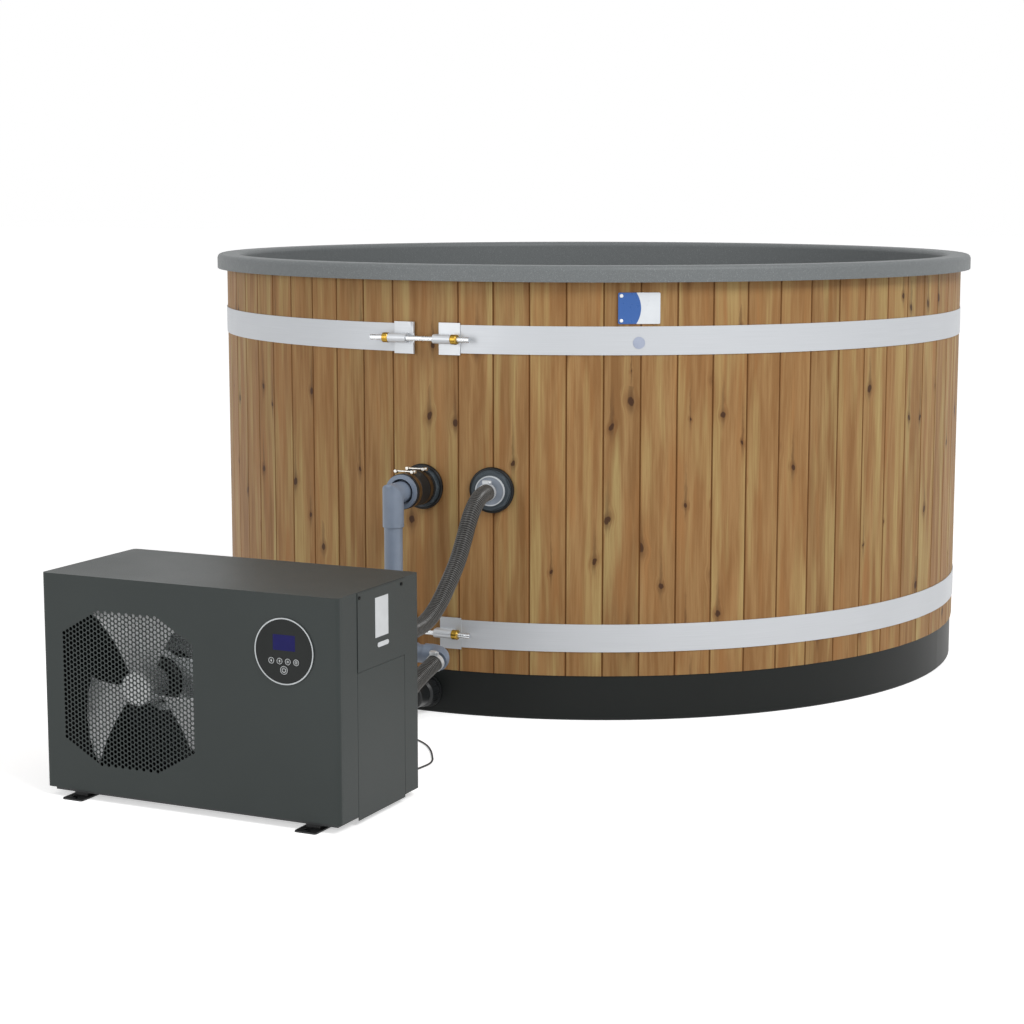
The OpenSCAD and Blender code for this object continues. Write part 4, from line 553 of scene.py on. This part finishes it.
shell_finish, t, s = new_finish("flecked shell", paint(108, 112, 113), 0.55)
fleck_use = use_group(t, fleck, {"Place": where(t)})
put(t, s.inputs["Base Color"], blend_colours(t, between(t, mottled(t, 2.5), 0.0, 1.0, 0.0, 0.12),
                                             fleck_use["Color"], paint(100, 104, 106)))
put(t, s.inputs["Roughness"], between(t, mottled(t, 120.0), 0.0, 1.0, 0.45, 0.62))
give_bump(t, s, fleck_use["Height"], 0.0006, 0.6)
wear(shell_finish, "shell")

# ---------------------------------------------------------------------------
# Staves: heat-treated pine boards, tongued and grooved, with both outer edges
# bevelled. Seventy standard boards and one of double width behind the pipes.
# ---------------------------------------------------------------------------
STAVE_PLACES = 72
STAVE_FACE = 0.0803
FIRST_JOINT = -95.0
# Painted shade colour for the grooves between staves.
GROOVE_SHADE = paint(108, 70, 34)

places, a_in, a_out = new_group(
    "Stave places", [("Place", "Vector", None)],
    [("Across", "Float"), ("Along", "Float"), ("Edge", "Float"), ("Number", "Float")])
axes = add_node(places, "ShaderNodeSeparateXYZ", {0: a_in["Place"]}).outputs
bearing = calc(places, "MULTIPLY", calc(places, "ARCTAN2", axes[1], axes[0]), 180 / math.pi)
count = calc(places, "FLOORED_MODULO",
             calc(places, "MULTIPLY", calc(places, "SUBTRACT", bearing, FIRST_JOINT),
                  STAVE_PLACES / 360),
             float(STAVE_PLACES))
wide = calc(places, "LESS_THAN", count, 2.0)
middle = calc(places, "ADD", calc(places, "FLOOR", count), 0.5)
middle = between(places, wide, 0.0, 1.0, middle, 1.0)
across = calc(places, "MULTIPLY", calc(places, "SUBTRACT", count, middle), STAVE_FACE)
half_face = calc(places, "MULTIPLY_ADD", wide, STAVE_FACE / 2, STAVE_FACE / 2)
put(places, a_out["Across"], across)
put(places, a_out["Along"], axes[2])
put(places, a_out["Edge"], calc(places, "SUBTRACT", half_face,
                                calc(places, "ABSOLUTE", across)))
put(places, a_out["Number"], middle)

stave_finish, t, s = new_finish("treated pine", paint(160, 122, 80), 0.58)
stave_at = use_group(t, places, {"Place": where(t)})
face = use_group(t, board, {"Across": stave_at["Across"], "Along": stave_at["Along"],
                            "Number": stave_at["Number"], "Knots": 0.4})
# Painted shade in the joints: the wood is coloured dark brown within about 2.6 mm of each stave's
# edge, where shade falls in the groove between boards.
groove_shade_share = between(t, stave_at["Edge"], 0.0026, 0.0012, 0.0, 0.9)
put(t, s.inputs["Base Color"], blend_colours(t, groove_shade_share, face["Color"], GROOVE_SHADE))
put(t, s.inputs["Roughness"], face["Roughness"])
s.inputs["Specular IOR Level"].default_value = 0.2
give_bump(t, s, face["Height"], 0.0007, 0.55)
wear(stave_finish, "front_staves", "rear_staves", "wide_stave")

# ---------------------------------------------------------------------------
# Bands: two flat stainless hoops round the staves. Each end carries a folded
# lug with a half-round sleeve, and a threaded rod with brass nuts draws the
# two lugs together.
# ---------------------------------------------------------------------------
rolled, r_in, r_out = new_group(
    "Rolled lines", [("Place", "Vector", None), ("Fineness", "Float", 1400.0)],
    [("Value", "Float")])
axes = add_node(rolled, "ShaderNodeSeparateXYZ", {0: r_in["Place"]}).outputs
round_at = calc(rolled, "ARCTAN2", axes[1], axes[0])
line_at = add_node(rolled, "ShaderNodeCombineXYZ", {
    "X": calc(rolled, "MULTIPLY", round_at, 6.0),
    "Y": calc(rolled, "MULTIPLY", axes[2], r_in["Fineness"])})
put(rolled, r_out["Value"], add_node(rolled, "ShaderNodeTexNoise", {
    "Vector": line_at.outputs[0], "Scale": 1.0, "Detail": 3.0}).outputs["Fac"])


def sheet_metal(name, dark, light, roughness, fineness=1400.0):
    """Bare rolled metal: fine lines along the strip and slow patches in its gloss."""
    made, tree, shader = new_finish(name, light, roughness, metallic=0.4)
    line = use_group(tree, rolled, {"Place": where(tree), "Fineness": fineness})["Value"]
    put(tree, shader.inputs["Base Color"], blend_colours(tree, between(tree, line, 0.3, 0.7),
                                                         dark, light))
    put(tree, shader.inputs["Roughness"], between(tree, mottled(tree, 9.0), 0.0, 1.0,
                                                  roughness - 0.06, roughness + 0.08))
    give_bump(tree, shader, line, 0.00005, 0.4)
    return made


def cast_metal(name, dark, light, roughness, patches=60.0, depth=0.00004):
    """Turned, plated or cast metal: slow patches of tone and a slightly uneven gloss."""
    made, tree, shader = new_finish(name, light, roughness, metallic=1.0)
    patch = mottled(tree, patches)
    put(tree, shader.inputs["Base Color"], blend_colours(tree, patch, dark, light))
    put(tree, shader.inputs["Roughness"], between(tree, mottled(tree, patches * 3), 0.0, 1.0,
                                                  roughness - 0.06, roughness + 0.1))
    give_bump(tree, shader, patch, depth, 0.5)
    return made


wear(sheet_metal("band steel", paint(187, 190, 194), paint(195, 198, 202), 0.46),
     "upper_band", "lower_band")
wear(sheet_metal("lug steel", paint(192, 195, 199), paint(206, 209, 212), 0.38),
     "band_lugs", "rod_sleeves")
wear(cast_metal("rod steel", paint(200, 204, 207), paint(230, 232, 234), 0.24), "tension_rods")
wear(cast_metal("nut brass", paint(150, 118, 44), paint(188, 152, 66), 0.28), "rod_nuts")

# ---------------------------------------------------------------------------
# Wall fittings: moulded black bodies with flange nuts that clamp a rubber
# gasket on each side of the wall.
# ---------------------------------------------------------------------------
PORT_HEIGHT = 0.508
SUCTION_X = -0.007
RETURN_DIR = math.radians(-80.15)
NUT_REACH = 0.0449
SOFT_EDGE = 0.0003


def from_port_axis(tree):
    """Distance of a point from the axis of the nearer wall fitting, in metres."""
    axes = place_axes(tree)
    past_suction = calc(tree, "SUBTRACT", axes[0], SUCTION_X)
    past_return = calc(tree, "MULTIPLY_ADD", axes[1], math.cos(RETURN_DIR),
                       calc(tree, "MULTIPLY", axes[0], -math.sin(RETURN_DIR)))
    aside = calc(tree, "MINIMUM", calc(tree, "ABSOLUTE", past_suction),
                 calc(tree, "ABSOLUTE", past_return))
    above = calc(tree, "SUBTRACT", axes[2], PORT_HEIGHT)
    return calc(tree, "SQRT", calc(tree, "MULTIPLY_ADD", aside, aside,
                                   calc(tree, "MULTIPLY", above, above)))


def inlaid(material, share, dark, light):
    """Paints a second pair of near tones over a finish where share is 1."""
    tree = material.node_tree
    colour = tree.nodes["Principled BSDF"].inputs["Base Color"]
    tones = blend_colours(tree, mottled(tree, 40.0), dark, light)
    put(tree, colour, blend_colours(tree, share(tree), colour.links[0].from_socket, tones))
    return material


wear(moulded("fitting plastic", paint(20, 22, 24), paint(34, 37, 39), 0.34, grain=1200.0,
             specular_ior_level=0.35), "suction_body", "return_body")
# The nut faces inside NUT_REACH are painted a lighter grey than the black flange round them. This
# is partly the nuts' own grey tone and partly a painted highlight for the light on their bevels.
wear(inlaid(moulded("flange plastic", paint(8, 9, 9), paint(13, 14, 15), 0.36, grain=1200.0,
                    specular_ior_level=0.25),
            lambda tree: between(tree, from_port_axis(tree), NUT_REACH + SOFT_EDGE,
                                 NUT_REACH - SOFT_EDGE),
            paint(54, 61, 66), paint(68, 76, 82)), "wall_flanges")
wear(moulded("gasket rubber", paint(14, 15, 15), paint(23, 24, 24), 0.7,
             specular_ior_level=0.3), "wall_gaskets")

# ---------------------------------------------------------------------------
# Suction line: rubber sleeve with two bolted clamps, then grey PVC elbows and
# pipe, solvent welded. The return line has a grey disc with a light rim in its nut.
# ---------------------------------------------------------------------------
wear(moulded("coupling rubber", paint(20, 21, 22), paint(34, 35, 36), 0.55, grain=700.0,
             specular_ior_level=0.3), "rubber_coupling")


BAND_REACH = 0.0392
DISC_RIM = 0.0305


def bolt_height(tree):
    """1 up where the clamp's bolts are, above its band."""
    band_top = PORT_HEIGHT + BAND_REACH
    return between(tree, place_axes(tree)[2], band_top, band_top + 0.001)


wear(inlaid(cast_metal("coupling clamp steel", paint(112, 96, 76), paint(146, 128, 104), 0.34),
            bolt_height, paint(206, 203, 196), paint(232, 230, 225)), "coupling_clamps")
wear(sheet_metal("hose clamp steel", paint(198, 201, 204), paint(222, 225, 227), 0.3),
     "hose_clamps")
wear(moulded("grey pipe", paint(110, 121, 137), paint(128, 139, 155), 0.36, grain=300.0,
             depth=0.00003, patches=16.0),
     "coupling_bush", "pvc_elbows", "pvc_pipes", "hose_tail")
wear(inlaid(moulded("return disc plastic", paint(190, 195, 199), paint(202, 206, 209), 0.4),
            lambda tree: between(tree, from_port_axis(tree), DISC_RIM + SOFT_EDGE,
                                 DISC_RIM - SOFT_EDGE),
            paint(126, 134, 145), paint(142, 150, 161)), "return_tail")

# ---------------------------------------------------------------------------
# Drain: black outlet through the base skirt with a ribbed screw cap, and a
# pierced strainer over its inlet in the floor of the footwell.
# ---------------------------------------------------------------------------
wear(moulded("drain plastic", paint(18, 20, 21), paint(32, 34, 35), 0.38,
             specular_ior_level=0.35), "drain_line", "drain_cap")
wear(cast_metal("strainer steel", paint(176, 180, 183), paint(208, 211, 214), 0.3),
     "drain_strainer")

# ---------------------------------------------------------------------------
# Plate and labels: a printed aluminium plate, blue and white with a curved
# edge between them, two white screws, two plain white stickers on the cabinet
# and a round grey-blue one on the upper band.
# ---------------------------------------------------------------------------
PLATE_DIR = math.radians(-60.3)
PLATE_MIDDLE = 0.905
BLUE_WIDTH = 0.004
BLUE_BOW = -9.0
ABOVE_CABINET = 0.6

plate_finish, t, s = new_finish("printed plate", paint(225, 228, 232), 0.3)
axes = place_axes(t)
plate_across = calc(t, "ADD", calc(t, "MULTIPLY", axes[0], -math.sin(PLATE_DIR)),
                    calc(t, "MULTIPLY", axes[1], math.cos(PLATE_DIR)))
plate_up = calc(t, "SUBTRACT", axes[2], PLATE_MIDDLE)
bow = calc(t, "MULTIPLY", calc(t, "MULTIPLY", plate_up, plate_up), BLUE_BOW)
past_edge = calc(t, "SUBTRACT", plate_across, calc(t, "ADD", bow, BLUE_WIDTH))
blue_tone = blend_colours(t, mottled(t, 12.0), paint(42, 86, 152), paint(46, 92, 160))
white_tone = blend_colours(t, mottled(t, 30.0), paint(208, 212, 217), paint(218, 222, 226))
print_tone = blend_colours(t, between(t, past_edge, -0.0004, 0.0004), blue_tone, white_tone)
put(t, s.inputs["Base Color"], print_tone)
put(t, s.inputs["Roughness"], between(t, mottled(t, 80.0), 0.0, 1.0, 0.24, 0.36))
wear(plate_finish, "name_plate")
wear(moulded("screw white", paint(226, 228, 230), paint(238, 239, 240), 0.4), "plate_screws")


def on_band(tree):
    """1 on the sticker that is on the band, 0 on those of the cabinet."""
    return between(tree, place_axes(tree)[2], ABOVE_CABINET, ABOVE_CABINET + 0.01)


wear(inlaid(moulded("label white", paint(192, 195, 197), paint(204, 207, 209), 0.45,
                    patches=40.0),
            on_band, paint(150, 158, 178), paint(164, 172, 190)), "plain_labels")

# ---------------------------------------------------------------------------
# Heat pump cabinet: folded sheet steel with a fine powder coat, on a pan and
# two black foot rails. The front panel is punched in front of the fan.
# ---------------------------------------------------------------------------
wear(moulded("cabinet powder coat", paint(47, 52, 51), paint(53, 58, 57), 0.42, grain=1500.0,
             depth=0.00004, patches=3.0, specular_ior_level=0.2),
     "front_panel", "top_cover", "side_panels", "service_cover", "corner_posts", "rear_panel")
wear(moulded("pan paint", paint(34, 37, 38), paint(46, 49, 50), 0.5), "base_pan")
wear(moulded("foot rail paint", paint(12, 13, 14), paint(22, 23, 24), 0.5), "foot_rails")
wear(cast_metal("cabinet screw steel", paint(22, 23, 24), paint(40, 41, 42), 0.4),
     "cabinet_screws")

# ---------------------------------------------------------------------------
# Fan: three broad moulded blades on the motor's shaft, in a black shroud. The
# motor stands on a pressed bracket behind it.
# ---------------------------------------------------------------------------
wear(moulded("fan plastic", paint(240, 242, 244), paint(248, 249, 250), 0.45, patches=6.0), "fan")
wear(cast_metal("shaft steel", paint(150, 154, 157), paint(200, 203, 205), 0.25), "fan_shaft")
wear(moulded("motor paint", paint(30, 32, 34), paint(44, 46, 48), 0.45), "fan_motor",
     "compressor")
wear(cast_metal("bracket steel", paint(176, 180, 182), paint(206, 209, 211), 0.42, patches=140.0),
     "motor_bracket")
wear(moulded("shroud plastic", paint(6, 6, 7), paint(12, 12, 13), 0.6,
             specular_ior_level=0.2), "fan_shroud")

# ---------------------------------------------------------------------------
# Works: aluminium fin coil across the back, compressor, and the plastic heat
# exchanger that the tub's water runs through.
# ---------------------------------------------------------------------------
wear(cast_metal("coil aluminium", paint(150, 154, 156), paint(190, 193, 195), 0.4), "evaporator")
wear(moulded("exchanger plastic", paint(38, 41, 44), paint(54, 57, 60), 0.45), "heat_exchanger")

# ---------------------------------------------------------------------------
# Controller: silver ring, gloss black disc, blue display window and five press
# keys, each printed with a rim line and a plain mark.
# ---------------------------------------------------------------------------
wear(cast_metal("ring metal", paint(150, 153, 155), paint(168, 171, 172), 0.3), "display_ring")
wear(moulded("disc plastic", paint(21, 24, 23), paint(28, 31, 30), 0.22, depth=0.00001,
             specular_ior_level=0.2), "display_face")
window_finish, t, s = new_finish("display window", paint(14, 12, 76), 0.3,
                                 specular_ior_level=0.15)
put(t, s.inputs["Base Color"], blend_colours(t, mottled(t, 50.0), paint(14, 13, 72),
                                             paint(18, 16, 84)))
wear(window_finish, "display_window")
wear(moulded("key plastic", paint(30, 33, 33), paint(40, 43, 43), 0.4, grain=2500.0,
             depth=0.00002, specular_ior_level=0.25),
     "key_down", "key_up", "key_mode", "key_clock", "key_power")

# Key prints: strokes of pale ink on each key's face, in millimetres from its middle
PRINT_PROUD, PRINT_SUNK = 0.00006, 0.0001
RIM_LINE = 0.8
SMALL_RIM = 5.4
BIG_RIM = 7.3


def arc_stroke(radius, width, first=0, last=360, middle=(0.0, 0.0)):
    """Outer and inner points along an arc, and whether it closes on itself."""
    steps = max(6, round((last - first) / 10))
    whole = last - first == 360
    turns = [math.radians(first + (last - first) * k / steps) for k in range(steps + (not whole))]
    return [[(middle[0] + r * math.cos(a), middle[1] + r * math.sin(a))
             for r in (radius + width / 2, radius - width / 2)] for a in turns], whole


def straight_stroke(start, end, start_width, end_width=None):
    """The two corners at each end of a straight stroke, which may taper."""
    end_width = end_width or start_width
    run = math.dist(start, end)
    out = ((start[1] - end[1]) / run / 2, (end[0] - start[0]) / run / 2)
    return [[(p[0] + k * w * out[0], p[1] + k * w * out[1]) for k in (1, -1)]
            for p, w in ((start, start_width), (end, end_width))], False


def key_print(key, strokes):
    """Ink on a key's face. Each stroke is a thin strip; some close into a ring."""
    low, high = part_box(key)
    mid_x, mid_z = (low[0] + high[0]) / 2, (low[2] + high[2]) / 2
    verts, faces = [], []
    for pairs, closed in strokes:
        first = len(verts)
        for pair in pairs:
            for y in (low[1] - PRINT_PROUD, low[1] + PRINT_SUNK):
                verts += [(mid_x + x / 1000, y, mid_z + z / 1000) for x, z in pair]
        for i in range(len(pairs) - (not closed)):
            a, b = first + 4 * i, first + 4 * ((i + 1) % len(pairs))
            faces += [(a, a + 1, b + 1, b), (a + 2, b + 2, b + 3, a + 3),
                      (a, b, b + 2, a + 2), (a + 1, a + 3, b + 3, b + 1)]
        if not closed:
            last = first + 4 * (len(pairs) - 1)
            faces += [(k, k + 1, k + 3, k + 2) for k in (first, last)]
    ink = mesh_piece(key + "_print", verts, faces, smooth=False)
    ink.data.materials.append(ink_finish)
    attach(ink, key + "_body")


ink_finish = moulded("key ink", paint(186, 189, 190), paint(204, 207, 208), 0.45, patches=300.0)
small_rim = arc_stroke(SMALL_RIM, RIM_LINE)
key_print("key_down", [small_rim, straight_stroke((0, 2.6), (0, 0.1), 1.1),
                       straight_stroke((0, 0.4), (0, -2.8), 3.8, 0.2)])
key_print("key_up", [small_rim, straight_stroke((0, -2.6), (0, -0.1), 1.1),
                     straight_stroke((0, -0.4), (0, 2.8), 3.8, 0.2)])
key_print("key_mode", [small_rim] + [straight_stroke((-2.2, z), (2.2, z), 0.7)
                                     for z in (1.5, 0.0, -1.5)])
key_print("key_clock", [small_rim, arc_stroke(2.3, 0.7), straight_stroke((0, 0), (0, 1.7), 0.6),
                        straight_stroke((0, 0), (1.2, 0), 0.6)])
key_print("key_power", [arc_stroke(BIG_RIM, RIM_LINE), arc_stroke(3.8, 1.1, 125, 415),
                        straight_stroke((0, 1.4), (0, 5.0), 1.1)])

# ---------------------------------------------------------------------------
# Back connections: two moulded bulkhead unions with barbed tails for the hoses,
# and two glands, one for the mains cable and one for the sensor lead.
# ---------------------------------------------------------------------------
wear(moulded("union plastic", paint(20, 22, 24), paint(34, 36, 38), 0.4,
             specular_ior_level=0.35), "water_unions", "cable_glands")
